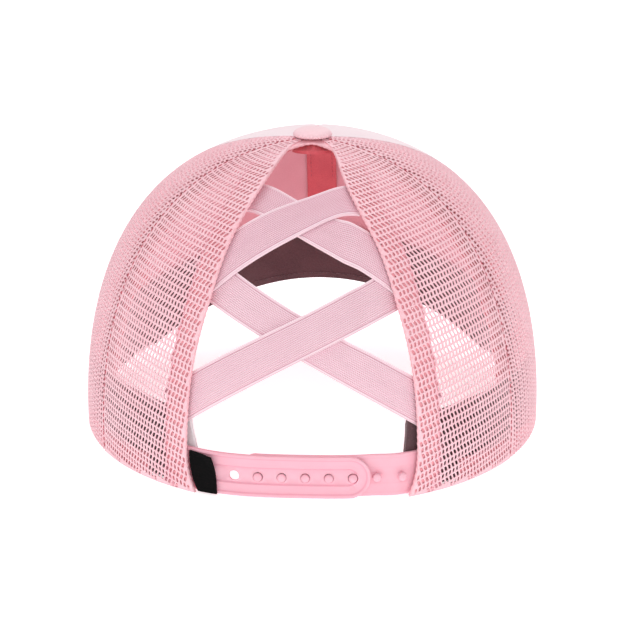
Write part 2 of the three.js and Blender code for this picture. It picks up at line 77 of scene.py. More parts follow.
def cubic(share, first, second, third, last):
    """A point on the smooth curve that leaves the first point for the second, and so on."""
    rest = 1 - share
    return (rest ** 3 * first + 3 * share * rest ** 2 * second + 3 * share ** 2 * rest * third
            + share ** 3 * last)


def crown_skin(angle, rise):
    """Points of the crown's outer skin, round its own middle."""
    angle, rise = paired(angle, rise)
    sine, cosine = np.sin(np.radians(angle)), np.cos(np.radians(angle))
    facing = np.where((cosine > 0)[..., None], CROWN_BACK, CROWN_FRONT)
    along = (cosine ** 2)[..., None]
    bulge, bulge_height, _, drop = np.moveaxis(facing * along + CROWN_SIDE * (1 - along), -1, 0)
    lift = CROWN_FRONT_LIFT * np.minimum(0, cosine) ** 2
    rim = np.stack((CROWN_RIM[0] * sine, -CROWN_RIM[1] * cosine, lift), -1)
    wide = np.stack(((CROWN_RIM[0] + bulge) * sine, -(CROWN_RIM[1] + bulge) * cosine,
                     lift + bulge_height), -1)
    high = np.stack((CROWN_SIDE[2] * sine, -facing[..., 2] * cosine, CROWN_HEIGHT - drop), -1)
    return cubic(rise[..., None], rim, wide, high, np.array((0.0, 0.0, CROWN_HEIGHT)))


def crown_outward(angle, rise):
    """Outward directions, level at the rim so that all lower edges lie in one plane."""
    angle, rise = paired(angle, rise)
    step = 0.001
    around = crown_skin(angle + step, rise) - crown_skin(angle - step, rise)
    up = crown_skin(angle, rise + step) - crown_skin(angle, rise - step)
    outward = unit(np.cross(around, up))
    outward[..., 2] *= np.clip(rise / CROWN_LEVEL_RIM, 0, 1)
    return unit(outward)


def crown_point(angle, rise, depth):
    inward = crown_outward(angle, rise) * np.asarray(depth, float)[..., None]
    return crown_skin(angle, rise) - inward + CROWN_MIDDLE


def metres_per_degree(angle, rise):
    """The length of a degree round the crown, which shrinks no more near its very top."""
    rise = np.minimum(rise, CROWN_CROWDED_RISE)
    return np.linalg.norm(crown_skin(angle + 0.5, rise) - crown_skin(angle - 0.5, rise), axis=-1)


def length_along(line):
    """The length of a line of points up to each of them."""
    return np.concatenate(([0], np.cumsum(np.linalg.norm(np.diff(line, axis=0), axis=1))))


def smoothstep(value, start, end):
    share = np.clip((value - start) / (end - start), 0, 1)
    return share * share * (3 - 2 * share)


def linear(red, green, blue):
    """A colour given as on a screen, 0 to 255, in the shader's own scale."""
    share = np.array((red, green, blue)) / 255
    return (*np.where(share > 0.04045, ((share + 0.055) / 1.055) ** 2.4, share / 12.92), 1.0)


def put(tree, kind, inputs=(), **settings):
    """A node of that kind, with its settings, and its inputs set or linked by name or number."""
    node = tree.nodes.new(kind)
    for key, value in settings.items():
        setattr(node, key, value)
    for key, value in dict(inputs).items():
        if isinstance(value, bpy.types.NodeSocket):
            tree.links.new(value, node.inputs[key])
        else:
            node.inputs[key].default_value = value
    return node


def made(tree, kind, inputs=(), **settings):
    """What comes out first from such a node."""
    return put(tree, kind, inputs, **settings).outputs[0]


def calc(tree, operation, *values):
    """What a math node gives for numbers or what comes out of other nodes."""
    return made(tree, "ShaderNodeMath", dict(enumerate(values)), operation=operation)


def mixed_colour(tree, share, first, second):
    return put(tree, "ShaderNodeMix", {0: share, 6: first, 7: second}, data_type="RGBA").outputs[2]


def patches(tree, scale, detail):
    """Soft random patches all over a piece, so many to the metre."""
    place = put(tree, "ShaderNodeTexCoord").outputs["Object"]
    return made(tree, "ShaderNodeTexNoise", {"Vector": place, "Scale": scale, "Detail": detail})


def new_finish(name, constants):
    """A material with these constants on its shader, and also its nodes and the shader."""
    material = bpy.data.materials.new(name)
    material.use_nodes = True
    shader = material.node_tree.nodes["Principled BSDF"]
    for key, value in constants.items():
        shader.inputs[key].default_value = value
    return material, material.node_tree, shader


def dress(tree, shader, colour, texture, strength, depth):
    """Links a colour and a fine texture of a given depth to a shader."""
    bump = made(tree, "ShaderNodeBump", {"Strength": strength, "Distance": depth,
                                         "Height": texture})
    tree.links.new(colour, shader.inputs["Base Color"])
    tree.links.new(bump, shader.inputs["Normal"])


def cloth_finish(name, colour, shade, roughness, sheen=0.25, fuzz=0.15, fuzz_size=0.0004):
    """Cloth with soft patches of a second shade, a nap of loose fibres and a little sheen."""
    material, tree, shader = new_finish(name, {"Roughness": roughness, "Sheen Weight": sheen,
                                               "Sheen Roughness": 0.5})
    fibres = patches(tree, 1 / fuzz_size, 2.0)
    spread = made(tree, "ShaderNodeMapRange",
                  {0: calc(tree, "ADD", patches(tree, 70.0, 3.0), fibres), 1: 0.7, 2: 1.3})
    tint = mixed_colour(tree, spread, linear(*colour), linear(*shade))
    dress(tree, shader, tint, fibres, fuzz, fuzz_size)
    return material


def new_piece(name, points, faces, material, sharp=50, edges=()):
    """A mesh object at the origin, smooth but for edges sharper than that many degrees."""
    mesh = bpy.data.meshes.new(name)
    mesh.from_pydata(np.asarray(points, float).reshape(-1, 3).tolist(), edges,
                     [list(map(int, face)) for face in faces])
    mesh.update()
    mesh.polygons.foreach_set("use_smooth", [True] * len(mesh.polygons))
    if sharp:
        mesh.set_sharp_from_angle(angle=math.radians(sharp))
    if material:
        mesh.materials.append(material)
    piece = bpy.data.objects.new(name, mesh)
    bpy.context.scene.collection.objects.link(piece)
    return piece


def mark(piece, key, values, domain="POINT"):
    """Stores a number or a direction for each point or face of a piece."""
    values = np.asarray(values, float)
    kind, field = ("FLOAT_VECTOR", "vector") if values.ndim > 1 else ("FLOAT", "value")
    piece.data.attributes.new(key, kind, domain).data.foreach_set(field, values.ravel())


def bake(piece):
    """Turns a piece with its modifiers into a plain mesh, and removes the modifiers."""
    evaluated = piece.evaluated_get(bpy.context.evaluated_depsgraph_get())
    mesh = bpy.data.meshes.new_from_object(evaluated)
    piece.modifiers.clear()
    mesh.name = piece.name
    piece.data = mesh


def grow(piece, tree, values):
    """Runs a Geometry Nodes tree on a piece, with its inputs set by the sockets' identifiers."""
    modifier = piece.modifiers.new(tree.name, "NODES")
    modifier.node_group = tree
    for item in tree.interface.items_tree:
        if item.item_type == "SOCKET" and item.in_out == "INPUT" and item.name in values:
            modifier[item.identifier] = values[item.name]


def nodes_tree(name, sockets):
    """A new Geometry Nodes tree with a geometry in, named inputs, and a geometry out."""
    tree = bpy.data.node_groups.new(name, "GeometryNodeTree")
    kinds = {float: "NodeSocketFloat", type(None): "NodeSocketMaterial"}
    tree.interface.new_socket("Geometry", in_out="INPUT", socket_type="NodeSocketGeometry")
    tree.interface.new_socket("Geometry", in_out="OUTPUT", socket_type="NodeSocketGeometry")
    for key, value in sockets.items():
        given = tree.interface.new_socket(key, in_out="INPUT", socket_type=kinds[type(value)])
        if value is not None:
            given.default_value = value
    return tree, put(tree, "NodeGroupInput").outputs


def named(tree, key, kind="FLOAT"):
    return made(tree, "GeometryNodeInputNamedAttribute", {"Name": key}, data_type=kind)


def end_tree(tree, geometry_out, material):
    """The last nodes of every tree: real geometry, and its material."""
    real = made(tree, "GeometryNodeRealizeInstances", {"Geometry": geometry_out})
    painted = made(tree, "GeometryNodeSetMaterial", {"Geometry": real, "Material": material})
    put(tree, "NodeGroupOutput", {0: painted})
    return tree


# The net's own sizes
HOLE_PITCH = 0.00172
ROW_HEIGHTS = (0.00245, 0.00222)
YARN_LEAN = 0.00062
NET_THICKNESS, SIDE_NET_THICKNESS = 0.00045, 0.0007
SIDE_NET_RELIEF = 0.0006
NET_DEPTH = 0.0001
MOST_OF_A_CELL = 5


def net_holes_tree():
    """Opens a hole in every cell: the cell is inset, its hole narrowed and rounded, and cut."""
    tree, given = nodes_tree("net holes", {"Wide row hole": 0.84, "Tight row hole": 0.74,
                                           "Hole width": 0.86, "Corner rounding": 0.18,
                                           "Yarn": None})
    place = made(tree, "GeometryNodeInputPosition")
    middle = put(tree, "GeometryNodeCaptureAttribute", domain="FACE")
    middle.capture_items.new("VECTOR", "Middle")
    tree.links.new(given["Geometry"], middle.inputs[0])
    tree.links.new(place, middle.inputs[1])
    inset = put(tree, "GeometryNodeExtrudeMesh",
                {"Mesh": middle.outputs[0], "Selection": named(tree, "open"),
                 "Offset Scale": 0.0, "Individual": True}, mode="FACES")
    top = inset.outputs["Top"]
    share = made(tree, "ShaderNodeMix", {0: named(tree, "tight"), 2: given["Wide row hole"],
                                         3: given["Tight row hole"]}, data_type="FLOAT")
    smaller = made(tree, "GeometryNodeScaleElements",
                   {"Geometry": inset.outputs["Mesh"], "Selection": top, "Scale": share},
                   domain="FACE", scale_mode="UNIFORM")
    narrower = made(tree, "GeometryNodeScaleElements",
                    {"Geometry": smaller, "Selection": top, "Scale": given["Hole width"],
                     "Axis": named(tree, "row", "FLOAT_VECTOR")},
                    domain="FACE", scale_mode="SINGLE_AXIS")
    hole_corner = made(tree, "FunctionNodeBooleanMath", {0: top, 1: named(tree, "corner")},
                       operation="AND")
    rounded = put(tree, "ShaderNodeMix", {0: given["Corner rounding"], 4: place,
                                          5: middle.outputs[1]}, data_type="VECTOR").outputs[1]
    moved = made(tree, "GeometryNodeSetPosition",
                 {"Geometry": narrower, "Selection": hole_corner, "Position": rounded})
    cut = made(tree, "GeometryNodeDeleteGeometry", {"Geometry": moved, "Selection": top},
               domain="FACE")
    return end_tree(tree, cut, given["Yarn"])


net_holes = net_holes_tree()


def net_sheet(name, middle, near, far, top, grain, material, bow=0.0, start=(0.0, 0.0),
              depth=NET_DEPTH, holes=(), relief=0.0, thickness=NET_THICKNESS):
    """A sheet of net on the crown, between edges given for the right side and mirrored on the
    left. Its cells lie in flat rows, turned by the grain in degrees, bowed, and shifted by start
    in cells; they are carried on to the crown round the panel's middle angle and trimmed. top is
    the highest rise; relief is how far the rows stand out from the yarns between their holes."""
    if middle > 0:
        low_edge, high_edge = near, far
    else:
        low_edge, high_edge = (lambda rise: -far(rise)), (lambda rise: -near(rise))
    rises = np.linspace(0, 1, 300)
    lengths = length_along(crown_skin(middle, rises))
    reach_up = np.interp(top, rises, lengths)
    wide = rises[rises <= top]
    reach_out = max(np.abs((edge(wide) - middle) * metres_per_degree(middle, wide)).max()
                    for edge in (low_edge, high_edge))
    sine, cosine = math.sin(math.radians(grain)), math.cos(math.radians(grain))
    spare = 0.004
    out, up = np.meshgrid((-reach_out - spare, reach_out + spare),
                          (-spare, reach_up + bow * reach_out ** 2 + spare))
    along, over = out * cosine + up * sine, up * cosine - out * sine
    pair = sum(ROW_HEIGHTS)
    first_pair = math.floor(over.min() / pair)
    rows = 2 * (math.ceil(over.max() / pair) - first_pair)
    lines = np.concatenate(([0], np.cumsum(np.tile(ROW_HEIGHTS, rows // 2))))
    lines = (lines + (first_pair + start[1]) * pair)[:, None]
    first, last = math.floor(along.min() / HOLE_PITCH), math.ceil(along.max() / HOLE_PITCH)
    across = (np.arange(first, last + 1) + start[0]) * HOLE_PITCH
    lean = YARN_LEAN / 2 * np.where(np.arange(rows + 1) % 2, -1, 1) * math.copysign(1, middle)
    lean = lean[:, None]
    grids, indices, count = [], [], 0
    for x, y in ((across + lean, lines), (across[:-1] + HOLE_PITCH / 2 + lean, lines),
                 (across, (lines[:-1] + lines[1:]) / 2)):
        grid = np.stack(np.broadcast_arrays(x, y), -1)
        indices.append(count + np.arange(grid[..., 0].size).reshape(grid.shape[:2]))
        grids.append(grid.reshape(-1, 2))
        count += len(grids[-1])
    x, y = np.concatenate(grids).T
    corner, bar, wall = indices
    out = x * cosine - y * sine
    up = x * sine + y * cosine - bow * out ** 2
    rise = np.clip(np.interp(up, lengths, rises), 0, top)
    angle = middle + out / metres_per_degree(middle, rise)
    low, high = low_edge(rise), high_edge(rise)
    inside = (angle > low) & (angle < high) & (up > 0) & (up < reach_up)
    angle = np.clip(angle, low, high)
    cells = np.stack((corner[:-1, :-1], bar[:-1], corner[:-1, 1:], wall[:, 1:], corner[1:, 1:],
                      bar[1:], corner[1:, :-1], wall[:, :-1]), -1)
    tight = np.broadcast_to((np.arange(rows) % 2)[:, None], cells.shape[:2]).reshape(-1)
    cells = cells.reshape(-1, 8)
    kept = inside[cells].any(axis=1)
    whole = (inside[cells].sum(axis=1) > MOST_OF_A_CELL)[kept]
    used, cells = np.unique(cells[kept], return_inverse=True)
    cells = cells.reshape(-1, 8)
    points = crown_point(angle[used], rise[used], depth + relief * (used >= wall[0, 0]))
    piece = new_piece(name, points, cells, None, sharp=0)
    marks = {"open": whole, "tight": tight[kept], "row": unit(points[cells[:, 3]]
                                                             - points[cells[:, 7]])}
    for key, values in marks.items():
        mark(piece, key, values, "FACE")
    mark(piece, "corner", used < corner.size)
    grow(piece, net_holes, {**dict(holes), "Yarn": material})
    yarn = piece.modifiers.new("yarn thickness", "SOLIDIFY")
    yarn.thickness = thickness
    yarn.offset = -1
    bake(piece)
    for key in (*marks, "corner"):
        if key in piece.data.attributes:
            piece.data.attributes.remove(piece.data.attributes[key])
    return piece


def seam_edge(angle, side):
    """The angle of a panel's edge at a rise, half a seam's gap to one side of the seam."""
    return lambda rise: angle + side * SEAM_GAP / 2 / metres_per_degree(angle, rise)


def fit(piece, slot, *nodes):
    """The piece belongs to the cap's one body, and stands for its plain solid."""
    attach(piece, "root")
    if nodes:
        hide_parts(*nodes)


net_yarn = cloth_finish("net yarn", (255, 208, 217), (252, 196, 206), 0.6, fuzz=0.10)
side_start, side_end = seam_edge(BACK_SIDE_SEAM, 1), seam_edge(SIDE_FRONT_SEAM, -1)
for side, word in SIDES:
    fit(net_sheet(f"side_net_{word}", side * 90, side_start, side_end, PANEL_TOP, 90, net_yarn,
                  relief=SIDE_NET_RELIEF, thickness=SIDE_NET_THICKNESS),
        "net", f"side_mesh_{word}")

# NET BACK PANELS. The same net, cut with the rows climbing away from the opening. The edge along
# the opening is folded under as a 10 mm hem and stitched down, so the net lies double there; the
# rim is turned up inside in the same way from the end of the snap strap's tab to the front.

OPENING_ANGLE, OPENING_NARROWING, OPENING_FLARE, OPENING_FLARE_POWER = 28.3, 8.9, 32, 14
TURN_IN, TURN_IN_TOP = 2.2, 0.12
# Where the straps' ends draw the edges in: rise, reach, and degrees on the left and the right
STRAP_PULLS = ((0.46, 0.13, 1.1, 1.2), (0.78, 0.19, 1.2, 4.6))
BACK_GRAIN, HEM_GRAIN = 12, 32
BACK_BOW = 1.9
HEM_WIDTH, HEM_TOP, HEM_DEPTH = 0.010, 0.85, 0.0007
HEM_HOLES = {"Wide row hole": 0.34, "Tight row hole": 0.28, "Hole width": 0.75}
RIM_HEM_START, RIM_HEM_RISE, RIM_HEM_DEPTH, RIM_HEM_SHIFT = 40.5, 0.062, 0.0009, (0.5, 0.35)
FOLD_TOP, FOLD_DEPTH, FOLD_SIDES = 0.95, 0.0008, 10


def opening_edge(rise, side=1):
    """The angle from the middle of the back to the opening's edge, right (1) or left (-1)."""
    turn_in = TURN_IN * np.maximum(0, 1 - rise / TURN_IN_TOP) ** 3
    pull = sum((right if side > 0 else left) * np.exp(-((rise - middle) / reach) ** 2)
               for middle, reach, left, right in STRAP_PULLS)
    return (OPENING_ANGLE - OPENING_NARROWING * rise ** 2 - turn_in - pull
            + OPENING_FLARE * rise ** OPENING_FLARE_POWER)


def hem_edge(rise, side):
    edge = opening_edge(rise, side)
    return edge + HEM_WIDTH / metres_per_degree(edge, rise)


def faces_out(piece):
    """Turns a closed piece's faces outwards."""
    shell = bmesh.new()
    shell.from_mesh(piece.data)
    bmesh.ops.recalc_face_normals(shell, faces=shell.faces)
    shell.to_mesh(piece.data)
    shell.free()
    return piece


def wall_piece(name, front, back, material):
    """A closed wall of cloth between two grids of points, columns by rows."""
    columns, rows = front.shape[:2]
    a, b = np.arange(2 * columns * rows).reshape(2, columns, rows)
    quads = ((a[:-1, :-1], a[1:, :-1], a[1:, 1:], a[:-1, 1:]),
             (b[:-1, :-1], b[:-1, 1:], b[1:, 1:], b[1:, :-1]),
             (a[:-1, 0], b[:-1, 0], b[1:, 0], a[1:, 0]),
             (a[:-1, -1], a[1:, -1], b[1:, -1], b[:-1, -1]),
             (a[0, :-1], a[0, 1:], b[0, 1:], b[0, :-1]),
             (a[-1, :-1], b[-1, :-1], b[-1, 1:], a[-1, 1:]))
    faces = np.concatenate([np.stack([part.ravel() for part in quad], -1) for quad in quads])
    points = np.concatenate((front.reshape(-1, 3), back.reshape(-1, 3)))
    return new_piece(name, points, faces, material)


def tube_faces(index):
    """The faces round a tube, from the numbers of its points, ring by ring."""
    beside = np.roll(index, -1, axis=1)
    return np.stack((index[:-1], beside[:-1], beside[1:], index[1:]), -1).reshape(-1, 4).tolist()


def tube_piece(name, rings, material):
    """A closed tube with flat ends, given as rings of points from one end to the other."""
    index = np.arange(rings[..., 0].size).reshape(rings.shape[:2])
    faces = tube_faces(index) + [index[0, ::-1].tolist(), index[-1].tolist()]
    return faces_out(new_piece(name, rings, faces, material))


def rolled_edge(name, angle, rise, out, through, bump, material):
    """The rolled fold of a hem: a flattened roll along a line on the crown, as wide as out and as
    thick as through, with one small swelling for each row of the net."""
    line = crown_point(angle, rise, FOLD_DEPTH)
    outward = crown_outward(angle, rise)[:, None]
    beside = unit(np.cross(unit(np.gradient(line, axis=0)), outward[:, 0]))[:, None]
    swell = 1 + bump * np.cos(length_along(line) / ROW_HEIGHTS[0] * 2 * math.pi)
    turns = np.radians(np.arange(FOLD_SIDES) * 360.0 / FOLD_SIDES)
    out, through = (out * swell)[:, None], (through * swell)[:, None]
    rings = (line[:, None] + beside * (np.cos(turns) * out)[..., None]
             + outward * (np.sin(turns) * through)[..., None])
    return tube_piece(name, rings, material)


hem_yarn = cloth_finish("folded net yarn", (251, 180, 188), (243, 160, 170), 0.65, fuzz=0.10)
fold_yarn = cloth_finish("yarn of the folds", (253, 200, 208), (248, 184, 193), 0.65, fuzz=0.10)
back_seam = seam_edge(BACK_SIDE_SEAM, -1)
rim_start = lambda rise: np.full_like(rise, RIM_HEM_START)
for side, word in SIDES:
    edge = lambda rise, side=side: opening_edge(rise, side)
    hem = lambda rise, side=side: hem_edge(rise, side)
    middle = side * (OPENING_ANGLE + BACK_SIDE_SEAM) / 2
    fit(net_sheet(f"back_net_{word}", middle, edge, back_seam, PANEL_TOP, side * BACK_GRAIN,
                  net_yarn, bow=BACK_BOW), "net", f"back_mesh_{word}")
    fit(net_sheet(f"opening_hem_{word}", middle, edge, hem, HEM_TOP, -side * HEM_GRAIN, hem_yarn,
                  start=(0.4, 0.3), depth=HEM_DEPTH, holes=HEM_HOLES), "net")
    for name, middle, start, end, grain in (
            ("back", side * 50, rim_start, back_seam, -side * BACK_GRAIN),
            ("side", side * 90, side_start, side_end, 90)):
        fit(net_sheet(f"{name}_rim_hem_{word}", middle, start, end, RIM_HEM_RISE, grain,
                      hem_yarn, start=RIM_HEM_SHIFT, depth=RIM_HEM_DEPTH, holes=HEM_HOLES), "net")
    rise = np.linspace(0.006, FOLD_TOP, 470)
    narrowed = 1 - 0.5 * smoothstep(rise, 0.8, FOLD_TOP)
    fit(rolled_edge(f"opening_fold_{word}", side * (edge(rise) + 0.2), rise, 0.0004 * narrowed,
                    0.0007 * narrowed, 0.22, fold_yarn), "net")
    angle = np.linspace(OPENING_ANGLE - TURN_IN + 0.5, SIDE_FRONT_SEAM - 0.3, 400)
    fit(rolled_edge(f"rim_fold_{word}", side * angle, np.full_like(angle, 0.0056), 0.0005,
                    0.0005, 0.16, fold_yarn), "net")

# Under the button the two hems are lapped and sewn across, so the opening ends in a small arch
ARCH_ENDS, ARCH_MIDDLE, ARCH_SEAT = 0.922, 0.967, 0.986
LAP_DEPTHS = (0.0006, 0.0011)
across = np.linspace(-1, 1, 61)[:, None]
arch_rise = ARCH_MIDDLE - (ARCH_MIDDLE - ARCH_ENDS) * np.abs(across) ** 2.2
rise = arch_rise + (ARCH_SEAT - arch_rise) * np.linspace(0, 1, 9)
angle = across * (np.where(across < 0, opening_edge(rise, -1), opening_edge(rise)) + 1.5)
lap = wall_piece("lapped_hems", *(crown_point(angle, rise, depth) for depth in LAP_DEPTHS),
                 fold_yarn)
fit(faces_out(lap), "net")
fit(rolled_edge("arch_fold", angle[:, 0], arch_rise[:, 0], 0.0004, 0.0005, 0.12, fold_yarn), "net")

# FRONT PANELS. Two gores of smooth pale pink cloth bonded to a thin backing that keeps the front
# standing; the backing shows inside as a dusky pink. They are sewn together up the middle, and
# the cloth dips and puckers a little at every seam.

FRONT_DEPTH, FRONT_THICKNESS, FRONT_THINNEST = 0.00015, 0.0019, 0.0008
FRONT_HEIGHT = 0.150
SEAM_DIP, SEAM_DIP_WIDTH = 0.0006, 0.0010
PUCKER_HEIGHT, PUCKER_LENGTH, PUCKER_REACH = 0.00012, 0.0075, 0.006

front_cloth = cloth_finish("front cloth", (255, 233, 239), (254, 226, 233), 0.72, sheen=0.4,
                           fuzz=0.12, fuzz_size=0.00025)
front_backing = cloth_finish("front backing", (240, 178, 188), (233, 167, 178), 0.85,
                             fuzz=0.25, fuzz_size=0.0005)


def second_finish(piece, material, faces):
    """Gives some of a piece's faces another finish."""
    piece.data.materials.append(material)
    piece.data.polygons.foreach_set("material_index", [int(chosen) for chosen in faces])


share = np.linspace(0, 1, 49)[:, None]
rise = np.linspace(0, PANEL_TOP, 90)[None, :]
near, far = seam_edge(SIDE_FRONT_SEAM, 1)(rise), FRONT_SEAM - 0.02
angle = near + (far - near) * (share - 0.08 * np.sin(2 * math.pi * share))
to_seam = np.minimum(angle - near, far - angle) * metres_per_degree(150, rise)
dip = SEAM_DIP * np.exp(-(to_seam / SEAM_DIP_WIDTH) ** 2)
pucker = (PUCKER_HEIGHT * np.cos(rise * FRONT_HEIGHT / PUCKER_LENGTH * 2 * math.pi)
          * np.exp(-(to_seam / PUCKER_REACH)))
for side, word in SIDES:
    outer, inner = (crown_point(side * angle, rise, depth)[::side]
                    for depth in (dip + pucker + FRONT_DEPTH,
                                  np.maximum(FRONT_THICKNESS, dip + FRONT_THINNEST)))
    panel = wall_piece(f"front_cloth_{word}", outer, inner, front_cloth)
    cells = (outer.shape[0] - 1) * (outer.shape[1] - 1)
    second_finish(panel, front_backing,
                  [cells <= k < 2 * cells for k in range(len(panel.data.polygons))])
    fit(panel, "front_cloth", f"front_panel_{word}")

# SEAM STITCHES. The six gores are joined with thick coral thread that shows as a dotted line in
# the bottom of each net seam; the opening's hems are stitched in pink, the front in pale pink.

STITCH = {"Stitch length": 0.0017, "Thread width": 0.00036, "Spacing": 0.0024}
THICK_STITCH = {**STITCH, "Thread width": 0.00045}


def stitch_tree():
    """Lays small flat-ended stitches end to end along a line, turned to lie on the cloth."""
    tree, given = nodes_tree("stitches", {"Stitch length": 0.002, "Thread width": 0.0004,
                                          "Spacing": 0.003, "Thread": None})
    line = made(tree, "GeometryNodeMeshToCurve", {0: given["Geometry"]})
    steps = made(tree, "GeometryNodeResampleCurve", {"Curve": line, "Length": given["Spacing"]},
                 mode="LENGTH")
    size = made(tree, "ShaderNodeCombineXYZ", {0: given["Stitch length"],
                                               1: given["Thread width"], 2: given["Thread width"]})
    thread = made(tree, "GeometryNodeMeshUVSphere", {"Segments": 6, "Rings": 5, "Radius": 0.5})
    along_x = made(tree, "GeometryNodeTransform",
                   {"Geometry": thread, "Rotation": (0.0, math.pi / 2, 0.0)})
    ahead = made(tree, "FunctionNodeAlignRotationToVector",
                 {"Vector": made(tree, "GeometryNodeInputTangent")}, axis="X")
    turned = made(tree, "FunctionNodeAlignRotationToVector",
                  {"Rotation": ahead, "Vector": named(tree, "outward", "FLOAT_VECTOR")},
                  axis="Z", pivot_axis="X")
    rows = made(tree, "GeometryNodeInstanceOnPoints",
                {"Points": steps, "Instance": along_x, "Rotation": turned, "Scale": size})
    return end_tree(tree, rows, given["Thread"])


stitches = stitch_tree()


def stitch_rows(name, lines, thread, slot, sizes=STITCH):
    """One piece of stitches along several lines, each given as its points and their outward
    directions."""
    edges, start = [], 0
    for line, _ in lines:
        edges += [(start + k, start + k + 1) for k in range(len(line) - 1)]
        start += len(line)
    points, outward = (np.concatenate(parts) for parts in zip(*lines))
    piece = new_piece(name, points, (), None, sharp=0, edges=edges)
    mark(piece, "outward", outward)
    grow(piece, stitches, {**sizes, "Thread": thread})
    bake(piece)
    piece.data.polygons.foreach_set("use_smooth", [True] * len(piece.data.polygons))
    fit(piece, slot)


def crown_line(angle, rise, depth):
    return crown_point(angle, rise, depth), crown_outward(angle, rise)


coral_thread = cloth_finish("coral thread", (206, 98, 112), (188, 78, 94), 0.6, sheen=0.1)
pink_thread = cloth_finish("pink thread", (250, 190, 204), (240, 172, 188), 0.6, sheen=0.1)
pale_thread = cloth_finish("pale pink thread", (253, 219, 227), (248, 208, 218), 0.6, sheen=0.1)
up_seam = np.linspace(0.02, 0.965, 160)
for name, seams, depth, thread, slot, sizes in (
        ("net_seam_stitches", (-BACK_SIDE_SEAM, BACK_SIDE_SEAM), -0.00005, coral_thread,
         "seam_tape", THICK_STITCH),
        ("front_side_seam_stitches", (-SIDE_FRONT_SEAM, SIDE_FRONT_SEAM), 0.00025, pale_thread,
         "front_cloth", STITCH),
        ("front_seam_stitches", (FRONT_SEAM,), 0.00045, pale_thread, "front_cloth", STITCH)):
    stitch_rows(name, [crown_line(seam, up_seam, depth) for seam in seams], thread, slot, sizes)
up_hem = np.linspace(0.01, 0.84, 140)
stitch_rows("opening_hem_stitches", [crown_line(side * (hem_edge(up_hem, side) - 0.7), up_hem, 0.0)
                                     for side, _ in SIDES], pink_thread, "net")

# SWEATBAND. A dark brown-grey cloth band, folded over a soft strip and sewn in round the inside
# of the rim. Its two ends stop at the opening, where they show as dark wedges; the left one is
# painted pale grey as painted light, where the light falls on that end.

BAND_THICKNESS = 0.0012
BAND_HEIGHTS, BAND_SIDE_EXTRA, BAND_SKIRT = (0.030, 0.020), 0.008, 0.0033
BAND_DEPTHS = (0.0042, 0.0014, 0.0026)
BAND_ENDS, BAND_SLANTS = (25.2, 24.4), (1.5, 5)
LIT_END_ANGLE = 331.5
LOWEST = 0.0005


def rise_at_height(angle, height):
    """The rise at which the crown stands a height above its rim."""
    angle, height = paired(angle, height)
    low, high = np.zeros(angle.shape), np.full(angle.shape, 0.6)
    lift = CROWN_FRONT_LIFT * np.minimum(0, np.cos(np.radians(angle))) ** 2
    for _ in range(30):
        middle = (low + high) / 2
        below = crown_skin(angle, middle)[..., 2] - lift < height
        low, high = np.where(below, middle, low), np.where(below, high, middle)
    return (low + high) / 2


def band_height(angle):
    forward = (1 - np.cos(np.radians(angle))) / 2
    extra = BAND_SIDE_EXTRA * np.sin(np.radians(angle)) ** 4
    return BAND_HEIGHTS[0] + (BAND_HEIGHTS[1] - BAND_HEIGHTS[0]) * forward + extra


def band_points(angle, share, out):
    """Points over the band's height; in front its lower edge hangs over the visor's edge."""
    from_back = np.minimum(angle, 360 - angle)
    back, side, front = BAND_DEPTHS
    depth = back + (side - back) * smoothstep(from_back, 42, 56)
    depth = depth + (front - depth) * smoothstep(from_back, 110, 119)
    skirt = BAND_SKIRT * smoothstep(from_back, 120, 127)
    height = -skirt + (band_height(angle) + skirt) * share
    points = crown_point(angle, rise_at_height(angle, np.maximum(height, LOWEST)), depth + out)
    points[..., 2] += np.minimum(height - LOWEST, 0)
    return points


band_cloth = cloth_finish("sweatband cloth", (96, 66, 70), (80, 52, 57), 0.9, sheen=0.5,
                          fuzz=0.35, fuzz_size=0.0006)
# Painted light: a pale grey put on the left end of the sweatband, where it is lit.
lit_band_end_paint = cloth_finish("sweatband end painted pale as lit", (238, 234, 237), (224, 219, 223), 0.9, sheen=0.3,
                            fuzz=0.3, fuzz_size=0.0005)
columns, rows = 300, 21
share = np.linspace(0.015, 1, rows)[None, :]
right_end = BAND_ENDS[0] + BAND_SLANTS[0] * share
left_end = 360 - (BAND_ENDS[1] + BAND_SLANTS[1] * share)
angle = right_end + (left_end - right_end) * np.linspace(0, 1, columns)[:, None]
fullness = 0.00035 * np.sin(math.pi * share) + 0.00045 * np.exp(-((share - 0.9) / 0.06) ** 2)
band = wall_piece("sweatband_cloth", band_points(angle, share, 0.0),
                  band_points(angle, share, BAND_THICKNESS + fullness), band_cloth)
column = np.tile(np.repeat(np.arange(columns - 1), rows - 1), 2)
# Painted light: the faces past this angle and the left end face get the pale grey of the lit end.
painted_lit_end = (angle[column, 0] > LIT_END_ANGLE).tolist()
painted_lit_end += [False] * (len(band.data.polygons) - len(painted_lit_end) - rows + 1) + [True] * (rows - 1)
second_finish(band, lit_band_end_paint, painted_lit_end)
fit(band, "sweatband_cloth", "sweatband")
band_stitches = []
for part in (0.12, 0.82):
    angle = np.linspace(27.5, 360 - 30.5, 500)
    rise = rise_at_height(angle, band_height(angle) * part)
    band_stitches.append((band_points(angle, part, BAND_THICKNESS + 0.00038),
                          -crown_outward(angle, rise)))
stitch_rows("sweatband_stitches", band_stitches, band_cloth, "sweatband_cloth")

# SEAM TAPES. Coral cotton tape, 13 mm wide with folded edges, sewn over the inside of the five
# seams with a row of stitches near each edge. The ends meet under the button.

TAPE_WIDTH, TAPE_THICKNESS, TAPE_TOP = 0.013, 0.0007, 0.95
TAPE_CROWDING = 26
TAPES = (("front_seam_tape", 180, 0.0025),
         ("front_side_tape_left", -120, 0.0025),
         ("front_side_tape_right", 120, 0.0025),
         ("back_side_tape_left", -60, 0.0015),
         ("back_side_tape_right", 60, 0.0015))


def half_tape(seam, rise):
    """Half a tape's width in degrees, where the tapes have room."""
    return np.minimum(TAPE_WIDTH / 2 / metres_per_degree(seam, rise), TAPE_CROWDING)


